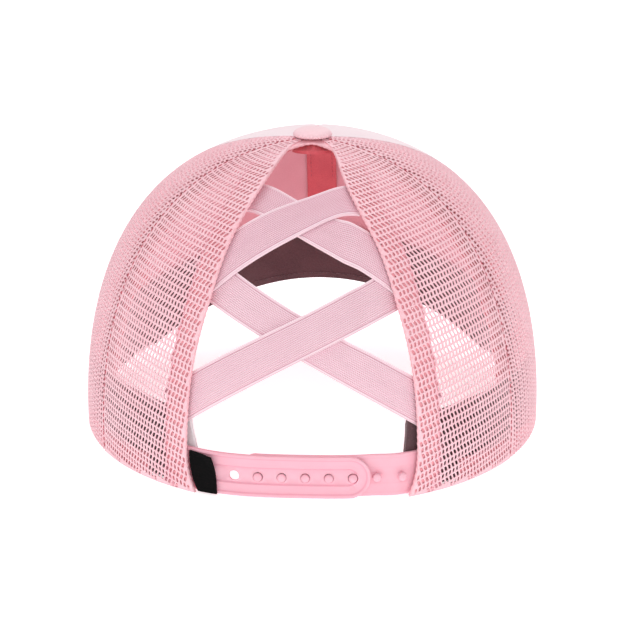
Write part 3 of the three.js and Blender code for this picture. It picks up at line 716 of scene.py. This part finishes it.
tape_cloth = cloth_finish("coral tape", (226, 102, 111), (208, 86, 97), 0.8, sheen=0.3,
                          fuzz=0.3, fuzz_size=0.0004)
share = np.linspace(-1, 1, 13)[:, None]
fold = 0.00025 * np.exp(-((np.abs(share) - 0.93) / 0.05) ** 2)
seam_ridge = 0.0003 * np.exp(-(share / 0.12) ** 2)
tape_stitches = []
for name, seam, depth in TAPES:
    edge = seam + share * half_tape(seam, 0.0)
    bottom = rise_at_height(edge, band_height(np.abs(edge)) + 0.0007)
    rise = bottom + (TAPE_TOP - bottom) * np.linspace(0, 1, 70)[None, :]
    outer, inner = (crown_point(seam + share * half_tape(seam, rise), rise, level)
                    for level in (depth, depth + TAPE_THICKNESS + fold + seam_ridge))
    fit(wall_piece(name + "_cloth", outer, inner, tape_cloth), "seam_tape", name)
    for part in (-0.72, 0.72):
        rise = np.linspace(0.24, TAPE_TOP - 0.03, 120)
        angle = seam + part * half_tape(seam, rise)
        tape_stitches.append((crown_point(angle, rise, depth + TAPE_THICKNESS + 0.0001),
                              -crown_outward(angle, rise)))
stitch_rows("tape_stitches", tape_stitches, coral_thread, "seam_tape")

# TAPE GATHER. The ends of the tapes are folded flat and caught together under the button's
# shank, in a small round pad of coral cloth with the folds crossing it.

GATHER_RADIUS, GATHER_EYE = 0.0079, 0.00175
GATHER_SLOPE, GATHER_TILT = 0.1, math.radians(7.3)
GATHER_TOP, GATHER_RISE = 0.1092, 0.0034
share = np.linspace(0, 1, 16)[None, :]
around = np.radians(np.arange(91) * 4.0)[:, None]
creases = 0.00045 * np.cos(5 * around + 0.6) + 0.00025 * np.cos(13 * around)
creases = creases * np.sin(math.pi * np.clip(share * 0.9 + 0.1, 0, 1))


def gather_points(eye, height):
    radius = eye + (GATHER_RADIUS - eye) * share
    x, y, z = radius * np.cos(around), radius * np.sin(around), height - GATHER_SLOPE * radius
    z, y = z * math.cos(GATHER_TILT) - y * math.sin(GATHER_TILT), y * math.cos(GATHER_TILT)
    return np.stack((x, y + CROWN_MIDDLE[1], z + GATHER_TOP), -1)[::-1]


gather = wall_piece(
    "tape_gather_folds",
    gather_points(GATHER_EYE, GATHER_RISE * (1 - share) ** 1.2 - 0.0002 + creases),
    gather_points(0.0003, creases - 0.0014), tape_cloth)
weld = gather.modifiers.new("closed round", "WELD")
weld.merge_threshold = 0.00001
bake(gather)
fit(faces_out(gather), "seam_tape", "tape_gather")

# BUTTON. A steel shell covered in pink cloth, which is gathered under its edge in fine pleats;
# its shank goes down through the top of the crown.

BUTTON_RADIUS, BUTTON_TOP, BUTTON_SEAT = 0.0073, 0.0037, 0.00045
BUTTON_TILT = math.radians(4)
BUTTON_BRIM = BUTTON_SEAT + 0.0005
PLEATS, PLEAT_DEPTH = 34, 0.03
button_cloth = cloth_finish("button cloth", (254, 217, 224), (251, 207, 215), 0.72, sheen=0.4,
                            fuzz=0.12, fuzz_size=0.00025)
profile = [(0.0012, -0.0025), (0.0012, -0.0004)]
profile += [(r, BUTTON_SEAT - r ** 2 / 0.110 + 0.0001) for r in (0.0014, 0.0035, 0.0055, 0.0066)]
for turn in np.radians(np.linspace(-30, 90, 22)):
    if turn < 0:
        height = max(BUTTON_BRIM + 0.0016 * math.sin(turn), BUTTON_SEAT - 0.0005)
    else:
        height = BUTTON_BRIM + (BUTTON_TOP - BUTTON_BRIM) * math.sin(turn)
    profile.append((max(BUTTON_RADIUS * max(math.cos(turn), 0.0) ** 0.6, 0.00012), height))
around = np.radians(np.arange(0, 360, 2.5))
radius, height = np.array(profile).T[..., None]
skirt = smoothstep(radius, 0.004, 0.0072) * np.exp(
    -(np.maximum(height - BUTTON_BRIM, 0) / 0.0018) ** 2)
radius = radius * (1 + PLEAT_DEPTH * skirt * np.cos(PLEATS * around))
ahead = radius * np.sin(around)
rings = np.stack((radius * np.cos(around),
                  ahead * math.cos(BUTTON_TILT) + height * math.sin(BUTTON_TILT) + CROWN_MIDDLE[1],
                  height * math.cos(BUTTON_TILT) - ahead * math.sin(BUTTON_TILT) + CROWN_HEIGHT),
                 -1)
fit(tube_piece("covered_button", rings, button_cloth), "button_cloth", "button")

# VISOR. A stiff curved board covered in the pale cloth above and below, with the cover turned in
# round the edge and seven rows of stitches following it. It is sewn in under the front panels.

VISOR_END = 122
VISOR_THICKNESS, VISOR_ROUNDING = 0.003, 0.0016
VISOR_TIP_HEIGHT, VISOR_SIDE_HEIGHT = 0.017, 0.003
VISOR_DEPTH = 0.002
VISOR_ROWS = 0.0045 + 0.0075 * np.arange(7)
VISOR_STITCH = {"Stitch length": 0.0021, "Thread width": 0.0004, "Spacing": 0.0028}
STITCH_LEVEL = 0.00012
board_corner = crown_skin(VISOR_END, 0.0)
visor_bow = np.array((board_corner[:2], (0.103, 0.094), (0.076, VISOR_TIP), (0.0, VISOR_TIP)))
visor_widest = cubic(np.linspace(0, 1, 61), *visor_bow[:, 0]).max()


def visor_edge(share):
    """The outer edge, from one side, -1, by the tip, 0, to the other side, 1."""
    out, ahead = np.moveaxis(cubic((1 - np.abs(share))[..., None], *visor_bow), -1, 0)
    fall = (VISOR_TIP_HEIGHT - VISOR_SIDE_HEIGHT) * (out / visor_widest) ** 2
    return np.stack((np.sign(share) * out, ahead, VISOR_TIP_HEIGHT - fall), -1)


def visor_span(share):
    """The points of the visor's upper side at the crown, and from there to its edge."""
    inner = crown_point(180 - share * (180 - VISOR_END), 0.0, VISOR_DEPTH) - CROWN_MIDDLE
    inner[..., 2] -= 0.0003
    return inner + CROWN_MIDDLE, visor_edge(share) - inner


share, along = np.broadcast_arrays(np.linspace(-1, 1, 141)[:, None],
                                   np.linspace(0, 1, 57)[None, :])
start, span = visor_span(share)
upper = start + span * along[..., None]
from_edge = (1 - along) * np.linalg.norm(span, axis=-1)
rounding = 1 - np.sqrt(np.clip(1 - (1 - np.clip(from_edge / VISOR_ROUNDING, 0, 1)) ** 2, 0, 1))
groove = sum(np.exp(-((from_edge - place) / 0.0007) ** 2) for place in VISOR_ROWS) * 0.00018
inset = rounding * VISOR_THICKNESS / 2 * 0.95 + groove
underside = upper.copy()
upper[..., 2] -= inset
underside[..., 2] -= VISOR_THICKNESS - inset
fit(faces_out(wall_piece("visor_cover", underside, upper, front_cloth)), "visor_cloth", "visor")
visor_stitches = []
start, span = visor_span(np.linspace(-0.97, 0.97, 260))
for place in VISOR_ROWS:
    along = 1 - place / np.linalg.norm(span, axis=-1)
    line = (start + span * along[:, None])[along > 0.06]
    up = np.tile((0.0, 0.0, 1.0), (len(line), 1))
    visor_stitches += [(line - up * STITCH_LEVEL, up),
                       (line - up * (VISOR_THICKNESS - STITCH_LEVEL), -up)]
stitch_rows("visor_stitches", visor_stitches, front_cloth, "visor_cloth", VISOR_STITCH)

# ELASTIC STRAPS. Four lengths of 15.5 mm pale pink knitted elastic, with fine ribs along them and
# a plain border at each edge. They cross in two pairs, one over the other, and their ends are
# sewn in under the hems.

STRAP_WIDTH, STRAP_THICKNESS = 0.0155, 0.0012
STRAP_TAB, STRAP_SPAN, STRAP_SAG = 6, 27, 0.0035
STRAP_RIBS, STRAP_BORDER = 17.0, 0.84
OUTER_LEVEL, INNER_LEVEL = 0.0025, 0.0041
LEVEL_CHANGE = (12, 17.5)
# name, rise in the middle, climb to the right, arch, level at the left and at the right
STRAPS = (
    ("upper_over", 0.725, 0.096, 0.086, OUTER_LEVEL, OUTER_LEVEL),
    ("upper_under", 0.703, -0.111, 0.057, INNER_LEVEL, OUTER_LEVEL),
    ("lower_over", 0.377, 0.131, 0.017, OUTER_LEVEL, INNER_LEVEL),
    ("lower_under", 0.375, -0.139, 0.010, INNER_LEVEL, OUTER_LEVEL),
)


def strap_point(angle, rise, level):
    """A point on a strap over the opening, which sags a little inside the crown's line."""
    share = np.minimum(1, np.abs(angle) / (STRAP_SPAN + 1))
    return crown_point(angle, rise, level + STRAP_SAG * np.cos(share * math.pi / 2) ** 2)


def beside_border(tree, across, border, reach, **settings):
    """Whether a place is inside the strap's borders, and how near it is to their grooves."""
    edge = calc(tree, "ABSOLUTE", across)
    off_groove = calc(tree, "ABSOLUTE", calc(tree, "SUBTRACT", edge, border))
    near = made(tree, "ShaderNodeMapRange", {0: off_groove, 1: 0.0, 2: reach, 3: 1.0, 4: 0.0},
                **settings)
    return calc(tree, "LESS_THAN", edge, border), near


def ribs_tree():
    """Raises the ribs of knitted elastic along a strap, and sinks a groove inside its borders."""
    tree, given = nodes_tree("elastic ribs", {"Ribs": STRAP_RIBS, "Rib height": 0.00028,
                                              "Groove depth": 0.00022, "Border": STRAP_BORDER,
                                              "Knit": None})
    across = named(tree, "across")
    in_field, groove = beside_border(tree, across, given["Border"], 0.045,
                                     interpolation_type="SMOOTHSTEP")
    half_turns = calc(tree, "MULTIPLY", given["Ribs"], math.pi / 2 / STRAP_BORDER)
    wave = calc(tree, "SINE", calc(tree, "MULTIPLY", across, half_turns))
    ribbed = calc(tree, "MULTIPLY", calc(tree, "ABSOLUTE", wave), in_field)
    raised = calc(tree, "MULTIPLY", ribbed, given["Rib height"])
    lowered = calc(tree, "MULTIPLY", groove, given["Groove depth"])
    shift = made(tree, "ShaderNodeVectorMath", {0: named(tree, "outward", "FLOAT_VECTOR"),
                                                3: calc(tree, "SUBTRACT", raised, lowered)},
                 operation="SCALE")
    moved = made(tree, "GeometryNodeSetPosition", {"Geometry": given["Geometry"],
                                                   "Offset": shift})
    return end_tree(tree, moved, given["Knit"])


def wave(tree, value, per_unit):
    """A wave from 0 to 1 along a value, so many to each unit."""
    turns = calc(tree, "MULTIPLY", value, per_unit * 2 * math.pi)
    return made(tree, "ShaderNodeMapRange", {0: calc(tree, "SINE", turns), 1: -1.0, 2: 1.0})


def elastic_finish():
    """Elastic cloth with painted shade between its ribs, in its twisted threads and grooves."""
    material = cloth_finish("elastic", (254, 231, 238), (250, 224, 232), 0.7, sheen=0.2, fuzz=0.2,
                            fuzz_size=0.0003)
    tree = material.node_tree
    across, along = (put(tree, "ShaderNodeAttribute", attribute_name=key).outputs["Fac"]
                     for key in ("across", "along"))
    in_field, groove = beside_border(tree, across, STRAP_BORDER, 0.035)
    slant = calc(tree, "MULTIPLY_ADD", across, 0.0031, along)
    twist = calc(tree, "MULTIPLY_ADD", wave(tree, slant, 1 / 0.00075), 0.5, 0.5)
    ribs = calc(tree, "MULTIPLY", wave(tree, across, STRAP_RIBS / 2 / STRAP_BORDER), twist)
    fainter = made(tree, "ShaderNodeMapRange", {0: in_field, 3: 0.5, 4: 1.0})
    rib_shade_share = calc(tree, "MULTIPLY", ribs, fainter)
    painted_rib_shade = calc(tree, "MULTIPLY", calc(tree, "MAXIMUM", rib_shade_share, groove), 0.9)
    base = tree.nodes["Principled BSDF"].inputs["Base Color"]
    # Painted shade: the colour is mixed towards a darker pink between the ribs and in the grooves.
    tree.links.new(mixed_colour(tree, painted_rib_shade, base.links[0].from_socket, linear(206, 124, 150)),
                   base)
    return material


elastic_ribs = ribs_tree()
elastic = elastic_finish()
share = np.concatenate((np.linspace(-1, -STRAP_BORDER, 8)[:-1],
                        np.linspace(-STRAP_BORDER, STRAP_BORDER, 101),
                        np.linspace(STRAP_BORDER, 1, 8)[1:]))[None, :]
offset = share * STRAP_WIDTH / 2
for name, start_rise, climb, arch, left, right in STRAPS:
    def middle_rise(angle):
        along = angle / STRAP_SPAN
        return start_rise + climb * along - arch * along ** 2

    ends = []
    for side, _ in SIDES:
        edge = opening_edge(middle_rise(side * float(STRAP_SPAN)), side)
        ends.append(side * (opening_edge(middle_rise(side * edge), side) + STRAP_TAB))
    angle = np.linspace(ends[0], ends[1], 90)
    here = middle_rise(angle)
    before, after = angle - 0.5, angle + 0.5
    ahead = crown_skin(after, middle_rise(after)) - crown_skin(before, middle_rise(before))
    across = unit(np.cross(crown_outward(angle, here), ahead))
    # How many degrees round the crown, and how much rise, go into a metre across the strap
    per_degree = crown_skin(after, here) - crown_skin(before, here)
    per_rise = (crown_skin(angle, here + 0.001) - crown_skin(angle, here - 0.001)) / 0.002
    aa, bb = (per_degree ** 2).sum(1), (per_rise ** 2).sum(1)
    ab = (per_degree * per_rise).sum(1)
    ta, tb = (across * per_degree).sum(1), (across * per_rise).sum(1)
    turn = ((ta * bb - tb * ab) / (aa * bb - ab * ab))[:, None]
    lift = ((tb * aa - ta * ab) / (aa * bb - ab * ab))[:, None]
    angles, rises = angle[:, None] + turn * offset, here[:, None] + lift * offset
    level = left + (right - left) * smoothstep(angles, *LEVEL_CHANGE)
    strap = wall_piece(f"elastic_{name}", strap_point(angles, rises, level + 0.0001),
                       strap_point(angles, rises, level + STRAP_THICKNESS), elastic)
    outward = crown_outward(angles, rises)
    outward[:, (0, -1)] = 0
    outward = outward.reshape(-1, 3)
    mark(strap, "outward", np.concatenate((outward, -outward * 0.6)))
    run = length_along(crown_skin(angle, here))[:, None]
    for key, values in (("across", share), ("along", run)):
        mark(strap, key, np.tile(np.broadcast_to(values, angles.shape).ravel(), 2))
    grow(strap, elastic_ribs, {"Knit": elastic})
    bake(strap)
    fit(strap, "elastic", f"strap_{name}")

# SNAP STRAP. Two moulded strips of satin pink plastic, sewn in at the two sides of the opening.
# Each has a raised rim and a sunk channel; one has round holes and the other domed pegs that
# press through them.

SNAP_HEIGHT, SNAP_BOTTOM, SNAP_THICKNESS = 0.0166, 0.0003, 0.0012
SNAP_CENTRE = SNAP_BOTTOM + SNAP_HEIGHT / 2
SNAP_TAB, SNAP_HOLES_END, SNAP_PEGS_END = 36, 17, -14.3
SNAP_PITCH, SNAP_FIRST_HOLE, SNAP_FIRST_PEG, SNAP_COUNT = 5.9, -22.6, -10.8, 7
PEG_HEIGHT = 0.0082
HOLE_RADIUS = 0.00195
RIM_WIDTH, RIM_HEIGHT, EDGE_ROUND = 0.0018, 0.00045, 0.00022
CHANNEL_INSET, CHANNEL_DEPTH, BOSS_HEIGHT = SNAP_HEIGHT / 2 - 0.0029, 0.00055, 0.00025
PER_DEGREE = float(metres_per_degree(0.0, 0.0))

snap_plastic, tree, shader = new_finish("satin pink plastic", {
    "Roughness": 0.38, "Subsurface Weight": 0.15, "Subsurface Radius": (0.002, 0.001, 0.001)})
cloudy = mixed_colour(tree, patches(tree, 90.0, 2.0), linear(247, 188, 202),
                      linear(243, 180, 195))
# Painted shade: a darker pink along the rim's inner step and the channel's edge.
crease_shade = put(tree, "ShaderNodeAttribute", attribute_name="crease_shade").outputs["Fac"]
crease_shaded_colour = mixed_colour(tree, calc(tree, "MULTIPLY", crease_shade, 0.55), cloudy, linear(226, 130, 156))
dress(tree, shader, crease_shaded_colour, patches(tree, 2500.0, 1.0), 0.05, 0.0002)


def snap_outline(inset, end, corner, other):
    """A line round a snap strip at a distance inside its edge, in metres along and up it. end is
    the rounded end and other the square one; both are given in degrees."""
    half = SNAP_HEIGHT / 2 - inset
    radius = max(corner - inset, 0.0004)
    facing = math.copysign(1, end - other)
    tip, back = end * PER_DEGREE - facing * inset, other * PER_DEGREE
    turns = np.linspace(0, math.pi / 2, max(4, int(radius * math.pi / 2 / 0.0007)))
    line = [(tip - facing * radius * (1 - math.cos(bend)),
             SNAP_CENTRE + corner_sign * (half - radius) + radius * math.sin(bend))
            for corner_sign, bends in ((1, math.pi / 2 - turns), (-1, -turns)) for bend in bends]
    steps = int(abs(back - line[-1][0]) / 0.0016)
    low = [(x, SNAP_CENTRE - half) for x in np.linspace(line[-1][0], back, steps)[1:]]
    high = [(x, SNAP_CENTRE + half) for x in np.linspace(back, line[0][0], steps)[:-1]]
    return line + low + high


def snap_strip(name, end, corner, other, level_at, holes=(), relief=1.0):
    """A moulded strip: its flat outline, rim and channel lines and holes are triangulated, and
    the two sides are then set on the crown at their own levels."""
    loops = [snap_outline(inset, end, corner, other)
             for inset in (0.0, 0.0003, RIM_WIDTH - 0.0008, RIM_WIDTH - 0.0004, RIM_WIDTH,
                           CHANNEL_INSET - 0.0007, CHANNEL_INSET - 0.0003, CHANNEL_INSET)]
    centres = [Vector((hole * PER_DEGREE, PEG_HEIGHT)) for hole in holes]
    loops += [[(centre.x + radius * math.cos(turn), centre.y + radius * math.sin(turn))
               for turn in np.radians(np.arange(0, 360, 15))]
              for centre in centres
              for radius in (HOLE_RADIUS, HOLE_RADIUS + 0.0003, HOLE_RADIUS + 0.0007)]
    points, edges = [], []
    for loop in loops:
        start = len(points)
        points.extend(Vector(point) for point in loop)
        edges.extend((start + k, start + (k + 1) % len(loop)) for k in range(len(loop)))
    cut = geometry.delaunay_2d_cdt(points, edges, [], 1, 1e-7)
    flat = np.array([tuple(point) for point in cut[0]])
    x, y = flat.T
    faces = [list(face) for face in cut[2]
             if all((Vector(flat[list(face)].mean(axis=0)) - centre).length > HOLE_RADIUS
                    for centre in centres)]
    facing = math.copysign(1, end - other)
    out = np.abs(y - SNAP_CENTRE) - (SNAP_HEIGHT / 2 - corner)
    past = facing * (x - end * PER_DEGREE) + corner
    inside = -(np.hypot(np.maximum(out, 0), np.maximum(past, 0))
               + np.minimum(np.maximum(out, past), 0) - corner)
    rim = relief * RIM_HEIGHT * (1 - smoothstep(inside, RIM_WIDTH - 0.0008, RIM_WIDTH))
    edge_round = EDGE_ROUND * (1 - smoothstep(inside, 0, 0.0003))
    channel = relief * CHANNEL_DEPTH * smoothstep(inside, CHANNEL_INSET - 0.0007, CHANNEL_INSET)
    to_hole = np.min([np.hypot(x - c.x, y - c.y) for c in centres] or [np.ones(len(flat))], axis=0)
    boss = BOSS_HEIGHT * (1 - smoothstep(to_hole, HOLE_RADIUS + 0.0003, HOLE_RADIUS + 0.0007))
    angle = x / PER_DEGREE
    rise = rise_at_height(angle, np.maximum(y, 0.0001))
    level = level_at(angle)
    front = strap_point(angle, rise, level + 0.00015 - rim + edge_round + channel - boss)
    back = strap_point(angle, rise, level + SNAP_THICKNESS)
    count = len(flat)
    directed = dict.fromkeys(pair for face in faces for pair in zip(face, face[1:] + face[:1]))
    walls = [(b, a, a + count, b + count) for a, b in directed if (b, a) not in directed]
    every = faces + [[k + count for k in face[::-1]] for face in faces] + walls
    strip = faces_out(new_piece(name, np.concatenate((front, back)), every, snap_plastic,
                                sharp=40))
    # Painted shade: how near each point is to the rim's inner step and the channel's edge, where
    # darker pink is painted.
    creases = relief * sum(np.exp(-((inside - place) / 0.0003) ** 2)
                           for place in (RIM_WIDTH - 0.0004, CHANNEL_INSET - 0.0003))
    mark(strip, "crease_shade", np.tile(creases, 2))
    return strip


def peg_level(angle):
    return INNER_LEVEL + (OUTER_LEVEL - INNER_LEVEL) * smoothstep(angle, 17.5, 24)


fit(snap_strip("snap_strip_holes", SNAP_HOLES_END, 0.008, -SNAP_TAB,
               lambda angle: np.full_like(angle, OUTER_LEVEL),
               [SNAP_FIRST_HOLE + k * SNAP_PITCH for k in range(SNAP_COUNT)]),
    "snap_plastic", "snap_strap_holes")
fit(snap_strip("snap_strip_pegs", SNAP_PEGS_END, 0.004, SNAP_TAB, peg_level, relief=0.25),
    "snap_plastic", "snap_strap_pegs")

# Each peg is a short stem with a domed head a little wider than the stem: radius and height
PEG_PROFILE = np.array(((0.00135, -0.0009), (0.00135, 0.0006), (0.00155, 0.0009),
                        (0.00168, 0.0013), (0.00160, 0.0017), (0.00125, 0.00205),
                        (0.0007, 0.00222)))
PEG_FOOT, PEG_CROWN = -0.0009, 0.00228
radius, height = PEG_PROFILE.T[..., None, None]
around = np.radians(np.arange(0, 360, 20))[:, None]
points, faces = [], []
for k in range(SNAP_COUNT):
    angle = np.array(SNAP_FIRST_PEG + k * SNAP_PITCH)
    rise, level = rise_at_height(angle, PEG_HEIGHT), peg_level(angle)
    root = strap_point(angle, rise, level)
    up = unit(root - strap_point(angle, rise, level + 0.001))
    east = unit(np.cross(up, (0.0, 0.0, 1.0)))
    rings = root + up * height + radius * (east * np.cos(around)
                                           + np.cross(up, east) * np.sin(around))
    index = len(points) + np.arange(rings[..., 0].size).reshape(rings.shape[:2])
    beside = np.roll(index, -1, axis=1)
    points += [*rings.reshape(-1, 3), root + up * PEG_FOOT, root + up * PEG_CROWN]
    faces += tube_faces(index)
    faces += [(b, a, len(points) - 2) for a, b in zip(index[0], beside[0])]
    faces += [(a, b, len(points) - 1) for a, b in zip(index[-1], beside[-1])]
fit(faces_out(new_piece("snap_pegs", points, faces, snap_plastic, sharp=60)), "snap_plastic")

# SIDE LABEL. A small black woven label, folded over and caught in the left edge of the opening
# above the snap strap; it hangs a little lower at its free edge, and a corner has sprung up.

LABEL_SEAT, LABEL_RIGHT, LABEL_SLANT, LABEL_LOW, LABEL_HIGH = 0.5, -20.85, 0.9, 0.0004, 0.0162
LABEL_LEVEL, LABEL_THICKNESS = 0.0012, 0.0008
LABEL_DROP, LABEL_SPRING = 0.0011, 0.0009
LABEL_ROWS = 26
label_weave = cloth_finish("black label weave", (9, 8, 9), (3, 3, 4), 0.8, sheen=0.0,
                           fuzz=0.3, fuzz_size=0.0003)
label_weave.node_tree.nodes["Principled BSDF"].inputs["Specular IOR Level"].default_value = 0.1
share, height_share = np.broadcast_arrays(np.linspace(0, 1, 25)[:, None],
                                          np.linspace(0, 1, 41)[None, :])
height = LABEL_LOW + (LABEL_HIGH - LABEL_LOW) * height_share
left = LABEL_SEAT - opening_edge(rise_at_height(OPENING_ANGLE, height), -1)
angle = left + (LABEL_RIGHT - LABEL_SLANT * height_share ** 3 - left) * share
level = (LABEL_LEVEL - LABEL_SPRING * smoothstep(share + height_share, 1.45, 2.0)
         + 0.00004 * np.sin(height_share * LABEL_ROWS * 2 * math.pi))
rise = rise_at_height(angle, height - LABEL_DROP * share * height_share ** 2)
label = wall_piece("woven_label", strap_point(angle, rise, level),
                   strap_point(angle, rise, level + LABEL_THICKNESS), label_weave)
fit(label, "label_weave", "side_label")

# STUDIO. A plain pale floor, soft white light from above, behind, in front and the left, and a
# camera behind the cap, a little above it.

FLOOR_HALF = 6
CAMERA_AZIMUTH, CAMERA_ELEVATION, CAMERA_DISTANCE = math.radians(2.7), math.radians(18.8), 0.9
CAMERA_TILT, CAMERA_AIM_HEIGHT = math.radians(0.84), 0.055
LENS_PIXELS, PICTURE_PIXELS = 2286, 625
LIGHTS = (
    ("key light", (0.25, -1.15, 0.75), 4.3, 0.6),
    ("left fill light", (-0.8, -0.7, 0.7), 1.5, 0.8),
    ("top light", (0.0, 0.3, 1.3), 6.0, 0.9),
    ("front light", (0.3, 1.1, 0.8), 2.3, 0.8),
    ("light inside the crown", (0.0, float(CROWN_MIDDLE[1]) - 0.01, 0.085), 0.02, 0.08),
)
pale, _, _ = new_finish("pale floor", {
    "Base Color": (0.94, 0.94, 0.94, 1), "Roughness": 0.8,
    "Emission Color": (1, 1, 1, 1), "Emission Strength": 0.56})
floor = new_piece("floor", [(x, y, -0.0002) for x, y in (
    (-FLOOR_HALF, -FLOOR_HALF), (FLOOR_HALF, -FLOOR_HALF), (FLOOR_HALF, FLOOR_HALF),
    (-FLOOR_HALF, FLOOR_HALF))], [(0, 1, 2, 3)], pale, sharp=0)

scene = bpy.context.scene
scene.view_settings.view_transform = "Standard"
scene.world = bpy.data.worlds.new("studio")
scene.world.use_nodes = True
background = scene.world.node_tree.nodes["Background"]
background.inputs["Color"].default_value = (1, 1, 1, 1)
background.inputs["Strength"].default_value = 0.45
for name, place, power, size in LIGHTS:
    light = bpy.data.objects.new(name, bpy.data.lights.new(name, "AREA"))
    light.data.energy = power
    light.data.size = size
    light.location = place
    aim = Vector((place[0], place[1], 0)) if size < 0.1 else Vector((0, 0, 0.06))
    light.rotation_euler = (aim - light.location).to_track_quat("-Z", "Y").to_euler()
    light.visible_camera = False
    scene.collection.objects.link(light)

camera = bpy.data.objects.new("camera", bpy.data.cameras.new("camera"))
scene.collection.objects.link(camera)
scene.camera = camera
camera.data.sensor_width = 36
camera.data.lens = 36 * LENS_PIXELS / PICTURE_PIXELS
look = Vector((-math.sin(CAMERA_AZIMUTH) * math.cos(CAMERA_ELEVATION),
               math.cos(CAMERA_AZIMUTH) * math.cos(CAMERA_ELEVATION),
               -math.sin(CAMERA_ELEVATION)))
camera.location = Vector(CROWN_MIDDLE) + Vector((0, 0, CAMERA_AIM_HEIGHT)) - look * CAMERA_DISTANCE
camera.rotation_euler = (math.pi / 2 - CAMERA_ELEVATION - CAMERA_TILT, 0, CAMERA_AZIMUTH)
